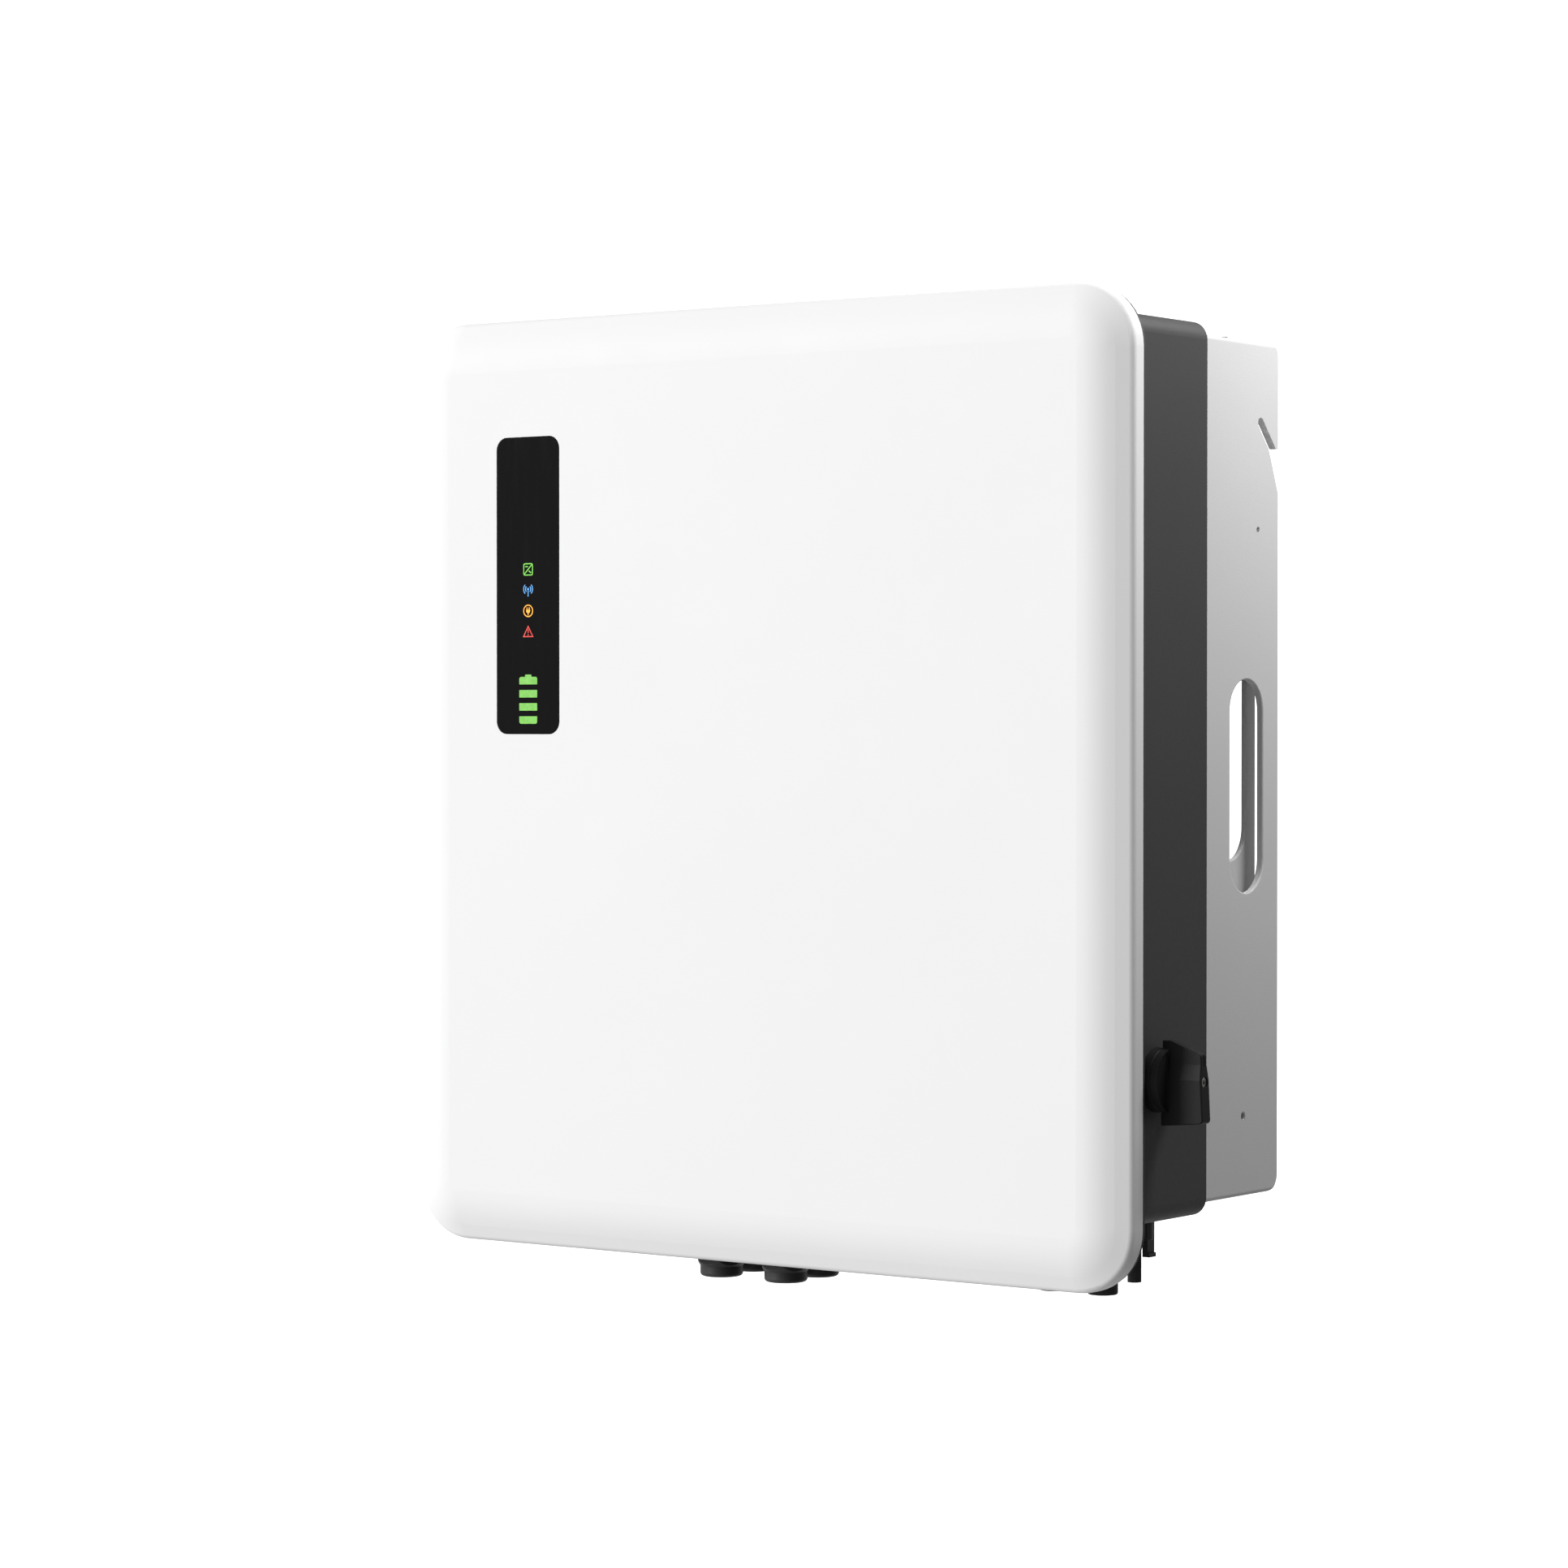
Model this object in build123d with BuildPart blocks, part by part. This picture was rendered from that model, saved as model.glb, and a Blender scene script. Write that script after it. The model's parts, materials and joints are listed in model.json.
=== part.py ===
from build123d import *
from math import cos, radians, sin
import os

# Wall-hung hybrid solar inverter.
# X runs to the right of someone facing the unit, Y back into the wall, Z up.
# The origin lies on the wall plane, midway between the two hook seats.
# Inside the script a place is given as x, as depth behind the front cover's face,
# and as height above the front cover's centre. All sizes are in millimetres.

# ---------------------------------------------------------------- driving sizes
# front cover
cover_width = 476.5
cover_height = 520.0
cover_depth = 18.2
cover_corner_radius = 34.0
cover_wall = 3.0
crown_radius = 45.4
crown_angle = 26.6
slope_length = 7.14
edge_radius = 4.24
socket_inset_x = 38.25
socket_inset_z = 60.0
socket_setback = 6.0

# inner lid, a plate that shows as a thin dark line behind the cover
lid_thickness = 3.3
lid_inset = 0.5
lid_screw_inset = 6.0

# housing
side_inset = 4.0
top_overhang = 15.6
bottom_overhang = 34.5
housing_depth = 68.0
housing_corner_radius = 10.0
housing_wall = 3.0
housing_back = 3.5
rim_width = 16.0
rim_thickness = 3.0
boss_radius = 4.6
boss_clearance = 0.6
boss_floor = 1.0

# side plates and the stiffeners inside them
plate_depth = 75.5
plate_thickness = 4.0
plate_drop = 7.0
plate_flange = 28.0
plate_bend_radius = 2.5
plate_top_corner = 7.0
plate_bottom_corner = 9.5
plate_edge_round = 1.0
stiffener_thickness = 3.0
stiffener_gap = 6.6
stiffener_setback = 6.0
stiffener_flange = 18.0
hand_slot_setback = 33.5
hand_slot_width = 34.8
hand_slot_length = 113.6
inner_slot_rise = 17.0
hang_drop = 43.4
hook_slot_width = 6.0
hook_slot_angle = 47.0
hook_seat_setback = 18.7
hook_drop = 13.0
hook_relief_height = 24.0
hook_relief_width = 8.5
lock_hole_radius = 2.35
lock_hole_rise = 42.9
lock_hole_setback = 36.7
tie_hole_radius = 1.6
tie_hole_drop = 100.4
tie_hole_setback = 21.6
stiffener_screw_inset = 10.5
stiffener_screw_end_gap = 48.0
stiffener_screw_bite = 7.0
flange_screw_inset = 10.0
flange_screw_near = 16.0
flange_screw_far = 50.0
hook_room = 8.0
hook_room_height = 26.0
hook_relief_step = 4.0

# heatsink
sink_side_gap = 7.65
sink_end_gap = 30.0
sink_base = 8.0
sink_wall_gap = 9.5
sink_window_margin = 33.0
fin_margin = 12.0
fin_pitch = 13.2
fin_thickness = 2.2
sink_screw_inset_x = 9.0
sink_screw_inset_z = 15.0
window_end_gap = 28.0

# display strip
display_inset = 87.15
display_drop = 149.5
display_width = 45.1
display_length = 166.3
display_radius = 7.3
window_fit = 0.15
window_recess = 0.3
window_step = 4.0
window_back = 1.8
window_gasket_thickness = 0.6
icon_size = 7.0
icon_pitch = 11.6
icon_first_drop = 74.1
bar_width = 12.8
bar_height = 4.2
bar_pitch = 7.35
bar_first_drop = 136.3
light_guide_length = 3.0
led_post_inset = 13.15
led_board_margin = 4.0
led_screw_bite = 4.0

# direct-current switch on the right side
switch_depth = 38.6
switch_rise = 75.2
collar_radius = 16.8
collar_length = 5.4
handle_gap = 0.35
handle_disc_length = 3.85
handle_reach = 29.7
handle_tip_lean = 1.8
handle_up = 20.7
handle_up_tip = 14.3
handle_down = 23.2
handle_down_tip = 21.3
handle_tab = 4.4
handle_tab_clearance = 0.5
handle_rim = 0.8
handle_top_half = 2.7
handle_middle_half = 4.5
handle_bottom_half = 4.3
shaft_radius = 4.0
drive_square = 5.4
running_gap = 0.05
handle_groove_length = 6.3
handle_corner_radius = 2.2
handle_screw_setback = 7.0
rotor_radius = 9.95
switch_body_length = 56.0
switch_body_height = 44.0
switch_opening_radius = 6.0
switch_screw_spread = 24.0
collar_spigot_length = 1.2
handle_screw_seat = 3.0
handle_screw_head_height = 2.2
rotor_inset = 6.0
rotor_gap = 0.3
blade_inset = 8.0
blade_offset = 7.0
blade_reach = 8.0
blade_clearance = 0.4

# wiring box and cable glands under the housing
gland_x = -25.1
gland_offset = 1.1
gland_pitch_x = 43.8
gland_pitch_y = 30.1
box_width = 112.0
box_depth_gap = 4.0
box_height = 22.2
box_wall = 2.5
box_cavity_width = 74.0
box_cavity_gap = 5.5
box_gasket_width = 2.5
box_gasket_depth = 1.2
gland_thread_radius = 10.0
gland_flats = 25.0
gland_hex_height = 4.0
gland_cap_radius = 11.9
gland_cap_length = 20.5
gland_cap_hex_height = 14.6
gland_cap_end_radius = 2.0
gland_bore = 7.0
gland_plug_radius = 5.0
locknut_flats = 22.0
locknut_height = 5.0
locknut_tail = 2.0
box_screw_inset_x = 7.0
box_screw_inset_y = 8.0
box_lip = 1.0

# plug-in connectors under the housing
front_row_inset = 20.1
back_row_inset = 16.0
pv_inset = 34.25
pv_pitch = 30.0
pv_shank = 7.0
pv_flange_radius = 10.5
pv_socket_radius = 8.0
pv_socket_length = 38.5
pv_socket_wall = 1.2
pv_cap_length = 18.0
pv_collar_length = 12.9
pv_barrel_radius = 3.7
pv_barrel_length = 35.5
pv_arm_length = 21.5
pv_arm_thickness = 3.2
pv_arm_width = 7.0
battery_gap = 31.1
battery_pitch = 28.0
battery_shank = 8.0
battery_radius = 9.5
battery_length = 30.0
mains_pitch = 50.0
mains_shank = 13.0
mains_radius = 16.0
mains_flange = 42.0
mains_length = 34.0
mains_ring_drop = 9.0
mains_ring_length = 10.0
mains_ring_wall = 2.0
mains_offset = 0.5
comm_inset = 112.25
comm_shank = 9.0
comm_length = 20.0
vent_offset = 2.0
vent_shank = 5.0
earth_gap = 12.0
earth_inset = 7.1
earth_shank = 3.0
nut_height = 5.0
nut_wall = 3.5
shank_inside = 8.0
connector_flange = 3.0
battery_flange = 24.0
battery_ring_rise = 12.0
battery_ring_wall = 1.2
comm_flange_wall = 3.5
vent_head_height = 6.0

# fasteners
small_shank = 1.25
medium_shank = 2.0
large_shank = 2.5
head_ratio = 1.75
head_height_ratio = 0.9
socket_ratio = 0.85
socket_depth_ratio = 0.5
screw_tip_gap = 0.5

# circuit boards and what stands on them
board_thickness = 1.6
board_side_gap = 46.25
board_top_gap = 51.4
board_bottom_gap = 122.5
board_screw_inset = 8.0
control_screw_inset = 6.0
chip_row_margin = 20.0
chip_gap = 8.0
module_row_gap = 24.0
capacitor_margin = 24.0
capacitor_middle_gap = 10.0
capacitor_drop = 48.0
module_thickness = 12.0
module_gap = 14.0
module_window_gap = 13.0
filter_board_trim = 46.0
filter_board_height = 84.0
filter_board_x = -15.0
filter_board_lift = 65.5
control_board_trim = 38.0
control_board_height = 110.0
control_board_inset = 18.0
control_board_drop = 73.0
control_board_gap = 14.5
capacitor_radius = 17.5
capacitor_pitch = 38.0
capacitor_gap = 9.4
inductor_pitch_x = 78.0
inductor_pitch_y = 76.0
inductor_margin = 11.0
inductor_top_gap = 130.0
inductor_bottom_gap = 12.0
inductor_gap_x = 10.0
inductor_gap_y = 12.0
inductor_gap = 12.4
relay_pitch = 34.0
relay_margin = 20.0
relay_gap = 6.0
relay_row_gap = 2.0
relay_height = 25.0
relay_room = 155.0
choke_height = 24.0
choke_radius = 26.0
choke_bore = 11.0
choke_pitch = 62.0
choke_margin = 73.0

# ---------------------------------------------------------------- worked-out places
lid_depth = cover_depth
housing_front = lid_depth + lid_thickness
housing_rear = housing_front + housing_depth
wall_depth = housing_rear + plate_depth
housing_width = cover_width - 2 * side_inset
housing_height = cover_height - top_overhang - bottom_overhang
housing_side = housing_width / 2
housing_top = cover_height / 2 - top_overhang
housing_bottom = bottom_overhang - cover_height / 2
housing_middle = (housing_top + housing_bottom) / 2
inner_back = housing_rear - housing_back
display_x = display_inset - cover_width / 2
display_height = cover_height / 2 - display_drop
plate_top = housing_top - plate_drop
plate_bottom = housing_bottom + plate_drop
hang_height = plate_top - hang_drop
lock_hole_height = plate_bottom + lock_hole_rise
tie_hole_height = plate_top - tie_hole_drop
hand_slot_depth = wall_depth - hand_slot_setback
stiffener_face = housing_side - plate_thickness - stiffener_gap
hook_seat_depth = wall_depth - hook_seat_setback
switch_height = housing_bottom + switch_rise
gland_depth = housing_front + housing_depth / 2 + gland_offset
box_length = housing_depth - box_depth_gap
box_cavity_length = box_length - 2 * box_cavity_gap
front_row = housing_front + front_row_inset
back_row = housing_rear - back_row_inset
pv_x = housing_side - pv_inset
grid_x = -pv_x
backup_x = grid_x + mains_pitch
mains_depth = (housing_front + housing_rear) / 2 + mains_offset
boss_length = front_row_inset - battery_shank - nut_wall - rim_thickness - boss_clearance
lid_pilot_depth = rim_thickness + boss_length - boss_floor
battery_x = gland_x + box_width / 2 + battery_gap
comm_x = housing_side - comm_inset
vent_x = battery_x - vent_offset
earth_x = gland_x - box_width / 2 - earth_gap
earth_depth = housing_rear - earth_inset
sink_width = 2 * (stiffener_face - stiffener_flange - sink_side_gap)
sink_height = housing_height - 2 * sink_end_gap
fin_depth = plate_depth - sink_base - sink_wall_gap
fin_count = int((sink_width - 2 * fin_margin) / fin_pitch) + 1
window_width = sink_width - 2 * sink_window_margin
module_front = housing_rear - module_thickness
power_board_front = module_front - board_thickness
power_board_width = housing_width - 2 * board_side_gap
power_board_height = housing_height - board_top_gap - board_bottom_gap
power_board_rise = housing_top - board_top_gap - power_board_height / 2
window_height = power_board_height - 2 * window_end_gap
filter_board_width = power_board_width - filter_board_trim
filter_board_rise = housing_bottom + filter_board_lift
control_board_width = power_board_width / 2 - control_board_trim
control_board_x = (power_board_width - control_board_width) / 2 - control_board_inset
control_board_rise = power_board_rise + power_board_height / 2 - control_board_drop
control_board_depth = housing_front + control_board_gap


def facing_front(depth):
    """Plane with x and height as its axes, looking out of the cover; back is negative."""
    return Plane((0, depth - wall_depth, -hang_height), x_dir=(1, 0, 0), z_dir=(0, -1, 0))


def facing_right(x):
    """Plane with depth and height as its axes, looking towards +X."""
    return Plane((x, -wall_depth, -hang_height), x_dir=(0, 1, 0), z_dir=(1, 0, 0))


def facing_up(height):
    """Plane with x and depth as its axes, looking up; down is negative."""
    return Plane((0, -wall_depth, height - hang_height), x_dir=(1, 0, 0), z_dir=(0, 0, 1))


def screw_set(plane, points, shank, length):
    """Socket-head screws: heads stand on the plane, shanks run behind it."""
    head = head_ratio * shank
    with BuildPart() as screws:
        with BuildSketch(plane):
            with Locations(*points):
                Circle(head)
        extrude(amount=head * head_height_ratio)
        with BuildSketch(plane):
            with Locations(*points):
                Circle(shank)
        extrude(amount=-length)
        with BuildSketch(plane.offset(head * head_height_ratio)):
            with Locations(*points):
                RegularPolygon(shank * socket_ratio, 6)
        extrude(amount=-head * socket_depth_ratio, mode=Mode.SUBTRACT)
    return screws


def frame_points(width, height, centre, columns, rows):
    """Points spread round a rectangle: columns along its top and bottom, rows up its sides."""
    points = []
    for column in range(columns):
        x = width * (column / (columns - 1) - 0.5)
        points.append((x, centre + height / 2))
        points.append((x, centre - height / 2))
    for row in range(1, rows - 1):
        z = centre + height * (row / (rows - 1) - 0.5)
        points.append((width / 2, z))
        points.append((-width / 2, z))
    return points


def corner_points(width, height, x=0.0, y=0.0):
    """The four corners of a rectangle."""
    return [(x + i * width / 2, y + j * height / 2) for i in (-1, 1) for j in (-1, 1)]


pieces = {}

# ---------------------------------------------------------------- front cover
# The rim's section is a wide crown arc, a straight slope, a tight edge and a short
# side wall. It is swept round the face, and a flat panel closes the middle.
slope_direction = Vector(cos(radians(crown_angle)), sin(radians(crown_angle)))
slope_normal = Vector(-sin(radians(crown_angle)), cos(radians(crown_angle)))
crown_end = Vector(0, crown_radius) - slope_normal * crown_radius
edge_centre = crown_end + slope_direction * slope_length + slope_normal * edge_radius
crown_inset = edge_centre.X + edge_radius
panel_half_width = cover_width / 2 - crown_inset
panel_half_height = cover_height / 2 - crown_inset
panel_corner = cover_corner_radius - crown_inset
panel_lap = 2.0


def rim_curve(inward):
    """The rim's outer line, or a line parallel to it further in."""
    crown = CenterArc((0, crown_radius), crown_radius - inward, -90, crown_angle)
    slope = PolarLine(crown @ 1, slope_length, crown_angle)
    edge = CenterArc(edge_centre, edge_radius - inward, crown_angle - 90, 90 - crown_angle)
    return crown @ 0, edge @ 1


socket_spread_x = cover_width - 2 * socket_inset_x
socket_spread_z = cover_height - 2 * socket_inset_z
socket_radius = 6.5
socket_bore = 3.9
stud_ball = 3.5
stud_reach = 9.0
socket_mouth = lid_depth - socket_setback
stud_points = frame_points(socket_spread_x, socket_spread_z, 0.0, 2, 3)
led_post_radius = 2.6
led_post_gap = 1.85
led_post_spread = (
    display_width + 2 * (window_step + led_post_radius + led_post_gap),
    display_length - 2 * led_post_inset,
)
led_posts = corner_points(*led_post_spread, display_x, display_height)
led_board_depth = (
    cover_wall + window_gasket_thickness + window_back + light_guide_length
)

with BuildSketch(facing_front(0)) as panel_outline:
    RectangleRounded(2 * panel_half_width, 2 * panel_half_height, panel_corner)
rim_path = panel_outline.sketch.face().outer_wire()

with BuildPart() as front_cover:
    rim_plane = Plane(
        (panel_half_width, -wall_depth, -hang_height), x_dir=(1, 0, 0), z_dir=(0, 0, 1)
    )
    with BuildSketch(rim_plane):
        with BuildLine():
            outer_start, outer_end = rim_curve(0)
            inner_start, inner_end = rim_curve(cover_wall)
            Polyline(
                outer_end,
                (crown_inset, cover_depth),
                (crown_inset - cover_wall, cover_depth),
                inner_end,
            )
            Polyline(inner_start, (-panel_lap, cover_wall), (-panel_lap, 0), outer_start)
        make_face()
    sweep(path=rim_path)
    with BuildSketch(facing_front(0)):
        RectangleRounded(
            2 * panel_half_width - panel_lap,
            2 * panel_half_height - panel_lap,
            panel_corner - panel_lap / 2,
        )
    extrude(amount=-cover_wall)
    with BuildSketch(facing_front(cover_wall)):
        with Locations(*led_posts):
            Circle(led_post_radius)
    extrude(amount=cover_wall - led_board_depth)
    with BuildSketch(facing_front(0)):
        with Locations((display_x, display_height)):
            RectangleRounded(display_width, display_length, display_radius)
    extrude(amount=-cover_wall, mode=Mode.SUBTRACT)
    with BuildSketch(facing_front(led_board_depth)):
        with Locations(*led_posts):
            Circle(small_shank)
    extrude(amount=led_screw_bite, mode=Mode.SUBTRACT)
pieces["front_cover"] = front_cover

with BuildPart() as cover_sockets:
    with BuildSketch(facing_front(cover_wall)):
        with Locations(*stud_points):
            Circle(socket_radius)
    extrude(amount=cover_wall - socket_mouth)
    with BuildSketch(facing_front(socket_mouth)):
        with Locations(*stud_points):
            Circle(socket_bore)
    extrude(amount=socket_mouth - cover_wall - 2.0, mode=Mode.SUBTRACT)
pieces["cover_sockets"] = cover_sockets

# ---------------------------------------------------------------- display strip
with BuildPart() as display_window:
    with BuildSketch(facing_front(window_recess)):
        with Locations((display_x, display_height)):
            RectangleRounded(
                display_width - 2 * window_fit,
                display_length - 2 * window_fit,
                display_radius - window_fit,
            )
    extrude(amount=window_recess - cover_wall - window_gasket_thickness)
    chamfer(display_window.faces().sort_by(Axis.Y)[0].edges(), 0.25)
    with BuildSketch(facing_front(cover_wall + window_gasket_thickness)):
        with Locations((display_x, display_height)):
            RectangleRounded(
                display_width + 2 * window_step,
                display_length + 2 * window_step,
                display_radius + window_step,
            )
    extrude(amount=-window_back)
pieces["display_window"] = display_window

with BuildPart() as window_gasket:
    with BuildSketch(facing_front(cover_wall)):
        with Locations((display_x, display_height)):
            RectangleRounded(
                display_width + 2 * window_step,
                display_length + 2 * window_step,
                display_radius + window_step,
            )
            RectangleRounded(
                display_width + 0.4, display_length + 0.4, display_radius, mode=Mode.SUBTRACT
            )
    extrude(amount=-window_gasket_thickness)
pieces["window_gasket"] = window_gasket

# Four pictogram lamps over a four-step battery gauge.
display_top = display_height + display_length / 2
guide_depth = led_board_depth - light_guide_length
icon_heights = [display_top - icon_first_drop - icon_pitch * i for i in range(4)]
bar_heights = [display_top - bar_first_drop - bar_pitch * i for i in range(4)]
with BuildPart() as light_guides:
    with BuildSketch(facing_front(guide_depth)):
        with Locations(*[(display_x, z) for z in icon_heights]):
            Rectangle(icon_size, icon_size)
        with Locations(*[(display_x, z) for z in bar_heights]):
            Rectangle(bar_width, bar_height)
    extrude(amount=-light_guide_length)
pieces["light_guides"] = light_guides

with BuildPart() as led_board:
    with BuildSketch(facing_front(led_board_depth)):
        with Locations((display_x, display_height)):
            Rectangle(*[spread + 2 * led_board_margin for spread in led_post_spread])
        with Locations(*led_posts):
            Circle(small_shank, mode=Mode.SUBTRACT)
    extrude(amount=-board_thickness)
    with BuildSketch(facing_front(led_board_depth + board_thickness)):
        with Locations((display_x, display_height + 30.0)):
            Rectangle(12.0, 9.0)
        with Locations((display_x, display_height - 20.0)):
            Rectangle(20.0, 6.0)
    extrude(amount=-2.0)
pieces["led_board"] = led_board

pieces["led_board_screws"] = screw_set(
    Plane(
        facing_front(led_board_depth + board_thickness).origin,
        x_dir=(1, 0, 0),
        z_dir=(0, 1, 0),
    ),
    [(x, -z) for x, z in led_posts],
    small_shank,
    board_thickness + led_screw_bite - screw_tip_gap,
)

# ---------------------------------------------------------------- inner lid
lid_points = frame_points(
    housing_width - 2 * lid_screw_inset,
    housing_height - 2 * lid_screw_inset,
    housing_middle,
    5,
    5,
)
gasket_inset = 10.5
gasket_width = 4.0
gasket_depth = 1.6

with BuildPart() as inner_lid:
    with BuildSketch(facing_front(lid_depth)):
        RectangleRounded(
            cover_width - 2 * lid_inset,
            cover_height - 2 * lid_inset,
            cover_corner_radius - lid_inset,
        )
        with Locations(*lid_points, *stud_points):
            Circle(medium_shank, mode=Mode.SUBTRACT)
    extrude(amount=-lid_thickness)
    lid_edges = inner_lid.faces().sort_by(Axis.Y)[-1].outer_wire().edges()
    fillet(lid_edges, 0.8)
pieces["inner_lid"] = inner_lid

with BuildPart() as lid_gasket:
    with BuildSketch(facing_front(housing_front)):
        with Locations((0, housing_middle)):
            RectangleRounded(
                housing_width - 2 * gasket_inset, housing_height - 2 * gasket_inset, gasket_width + 1
            )
            RectangleRounded(
                housing_width - 2 * (gasket_inset + gasket_width),
                housing_height - 2 * (gasket_inset + gasket_width),
                1.0,
                mode=Mode.SUBTRACT,
            )
    extrude(amount=-gasket_depth)
pieces["lid_gasket"] = lid_gasket

lid_screw_length = lid_thickness + lid_pilot_depth - screw_tip_gap
pieces["lid_screws"] = screw_set(facing_front(lid_depth), lid_points, medium_shank, lid_screw_length)

# Ball studs on the lid that the cover's sockets push over.
with BuildPart() as cover_studs:
    for x, z in stud_points:
        stud_axis = Axis((x, 0, z - hang_height), (0, 1, 0))
        stud_plane = Plane((x, lid_depth - wall_depth, z - hang_height), x_dir=(1, 0, 0), z_dir=(0, 0, 1))
        with BuildSketch(stud_plane):
            with BuildLine():
                Polyline(
                    (0, lid_thickness),
                    (medium_shank, lid_thickness),
                    (medium_shank, 0),
                    (4.5, 0),
                    (4.5, -1.5),
                    (2.2, -1.5),
                    (2.2, 3.0 - stud_reach),
                    (stud_ball, 2.0 - stud_reach),
                    (stud_ball, 0.8 - stud_reach),
                    (stud_ball - 1.2, -stud_reach),
                    (0, -stud_reach),
                    close=True,
                )
            make_face()
        revolve(axis=stud_axis)
pieces["cover_studs"] = cover_studs

# ---------------------------------------------------------------- housing
# A deep die-cast tray, open to the front and closed by the lid.
sink_screw_points = frame_points(
    sink_width - 2 * sink_screw_inset_x,
    sink_height - 2 * sink_screw_inset_z,
    housing_middle,
    3,
    3,
)
stiffener_screw_x = stiffener_face - stiffener_screw_inset
stiffener_screw_spread = (plate_top - plate_bottom) / 2 - stiffener_screw_end_gap
stiffener_screw_heights = [housing_middle + stiffener_screw_spread * i for i in (-1, 0, 1)]
standoff_radius = 4.0
standoff_height = inner_back - module_front
power_points = frame_points(
    power_board_width - 2 * board_screw_inset,
    power_board_height - 2 * board_screw_inset,
    power_board_rise,
    2,
    3,
)
filter_points = corner_points(
    filter_board_width - 2 * board_screw_inset,
    filter_board_height - 2 * board_screw_inset,
    filter_board_x,
    filter_board_rise,
)
connector_hole_fit = 0.1
pv_points = [(pv_x, front_row), (pv_x - pv_pitch, front_row)]
pv_back_points = [(pv_x, back_row), (pv_x - pv_pitch, back_row)]
battery_points = [(battery_x, front_row), (battery_x + battery_pitch, front_row)]
mains_points = [(grid_x, mains_depth), (backup_x, mains_depth)]
comm_point = (comm_x, back_row)
vent_point = (vent_x, back_row)
earth_point = (earth_x, earth_depth)
box_screw_points = corner_points(
    box_width - 2 * box_screw_inset_x, box_length - 2 * box_screw_inset_y, gland_x, gland_depth
)
switch_screw_points = corner_points(0, switch_screw_spread, switch_depth, switch_height)

with BuildPart() as housing:
    with BuildSketch(facing_front(housing_front)):
        with Locations((0, housing_middle)):
            RectangleRounded(housing_width, housing_height, housing_corner_radius)
    extrude(amount=-housing_depth)
    with BuildSketch(facing_front(housing_front + rim_thickness)):
        with Locations((0, housing_middle)):
            RectangleRounded(
                housing_width - 2 * housing_wall,
                housing_height - 2 * housing_wall,
                housing_corner_radius - housing_wall,
            )
    extrude(amount=housing_front + rim_thickness - inner_back, mode=Mode.SUBTRACT)
    with BuildSketch(facing_front(housing_front + rim_thickness)):
        with Locations(*lid_points):
            Circle(boss_radius)
    extrude(amount=-boss_length)
    with BuildSketch(facing_front(housing_front)):
        with Locations((0, housing_middle)):
            RectangleRounded(housing_width - 2 * rim_width, housing_height - 2 * rim_width, 4.0)
    extrude(amount=-rim_thickness, mode=Mode.SUBTRACT)
    with BuildSketch(facing_front(housing_front)):
        with Locations((0, housing_middle)):
            RectangleRounded(
                housing_width - 2 * gasket_inset, housing_height - 2 * gasket_inset, gasket_width + 1
            )
            RectangleRounded(
                housing_width - 2 * (gasket_inset + gasket_width),
                housing_height - 2 * (gasket_inset + gasket_width),
                1.0,
                mode=Mode.SUBTRACT,
            )
    extrude(amount=-gasket_depth, mode=Mode.SUBTRACT)
    with BuildSketch(facing_front(housing_front)):
        with Locations(*lid_points):
            Circle(medium_shank)
    extrude(amount=-lid_pilot_depth, mode=Mode.SUBTRACT)
    # window that the power modules reach the heatsink through
    with BuildSketch(facing_front(inner_back)):
        with Locations((0, power_board_rise)):
            RectangleRounded(window_width, window_height, 6.0)
        with Locations(*sink_screw_points):
            Circle(large_shank)
    extrude(amount=-housing_back, mode=Mode.SUBTRACT)
    # blind holes for the stiffener screws, each in a pad inside the back wall
    with BuildSketch(facing_front(inner_back)):
        for side in (-1, 1):
            with Locations(*[(side * stiffener_screw_x, z) for z in stiffener_screw_heights]):
                Circle(6.0)
    extrude(amount=stiffener_screw_bite - 2.0)
    with BuildSketch(facing_front(housing_rear)):
        for side in (-1, 1):
            with Locations(*[(side * stiffener_screw_x, z) for z in stiffener_screw_heights]):
                Circle(medium_shank)
    extrude(amount=stiffener_screw_bite, mode=Mode.SUBTRACT)
    # blind holes that hold the circuit-board standoffs
    with BuildSketch(facing_front(inner_back)):
        with Locations(*power_points, *filter_points):
            Circle(medium_shank)
    extrude(amount=-2.0, mode=Mode.SUBTRACT)
    # switch opening in the right wall
    with BuildSketch(facing_right(housing_side)):
        with Locations((switch_depth, switch_height)):
            Circle(switch_opening_radius)
        with Locations(*switch_screw_points):
            Circle(small_shank)
    extrude(amount=-housing_wall, mode=Mode.SUBTRACT)
    # connector holes and the cable opening in the bottom wall
    with BuildSketch(facing_up(housing_bottom)):
        with Locations(*pv_points, *pv_back_points):
            Circle(pv_shank + connector_hole_fit)
        with Locations(*battery_points):
            Circle(battery_shank + connector_hole_fit)
        with Locations(*mains_points):
            Circle(mains_shank + connector_hole_fit)
        with Locations(comm_point):
            Circle(comm_shank + connector_hole_fit)
        with Locations(vent_point):
            Circle(vent_shank + connector_hole_fit)
        with Locations(earth_point):
            Circle(earth_shank)
        with Locations((gland_x, gland_depth)):
            RectangleRounded(box_cavity_width - 6.0, gland_pitch_y, 4.0)
        with Locations(*box_screw_points):
            Circle(medium_shank)
    extrude(amount=housing_wall, mode=Mode.SUBTRACT)
pieces["housing"] = housing

# ---------------------------------------------------------------- heatsink
sink_gasket_width = 5.0
sink_gasket_depth = 1.5
sink_gasket_gap = 4.0
sink_screw_bite = 6.5

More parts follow.
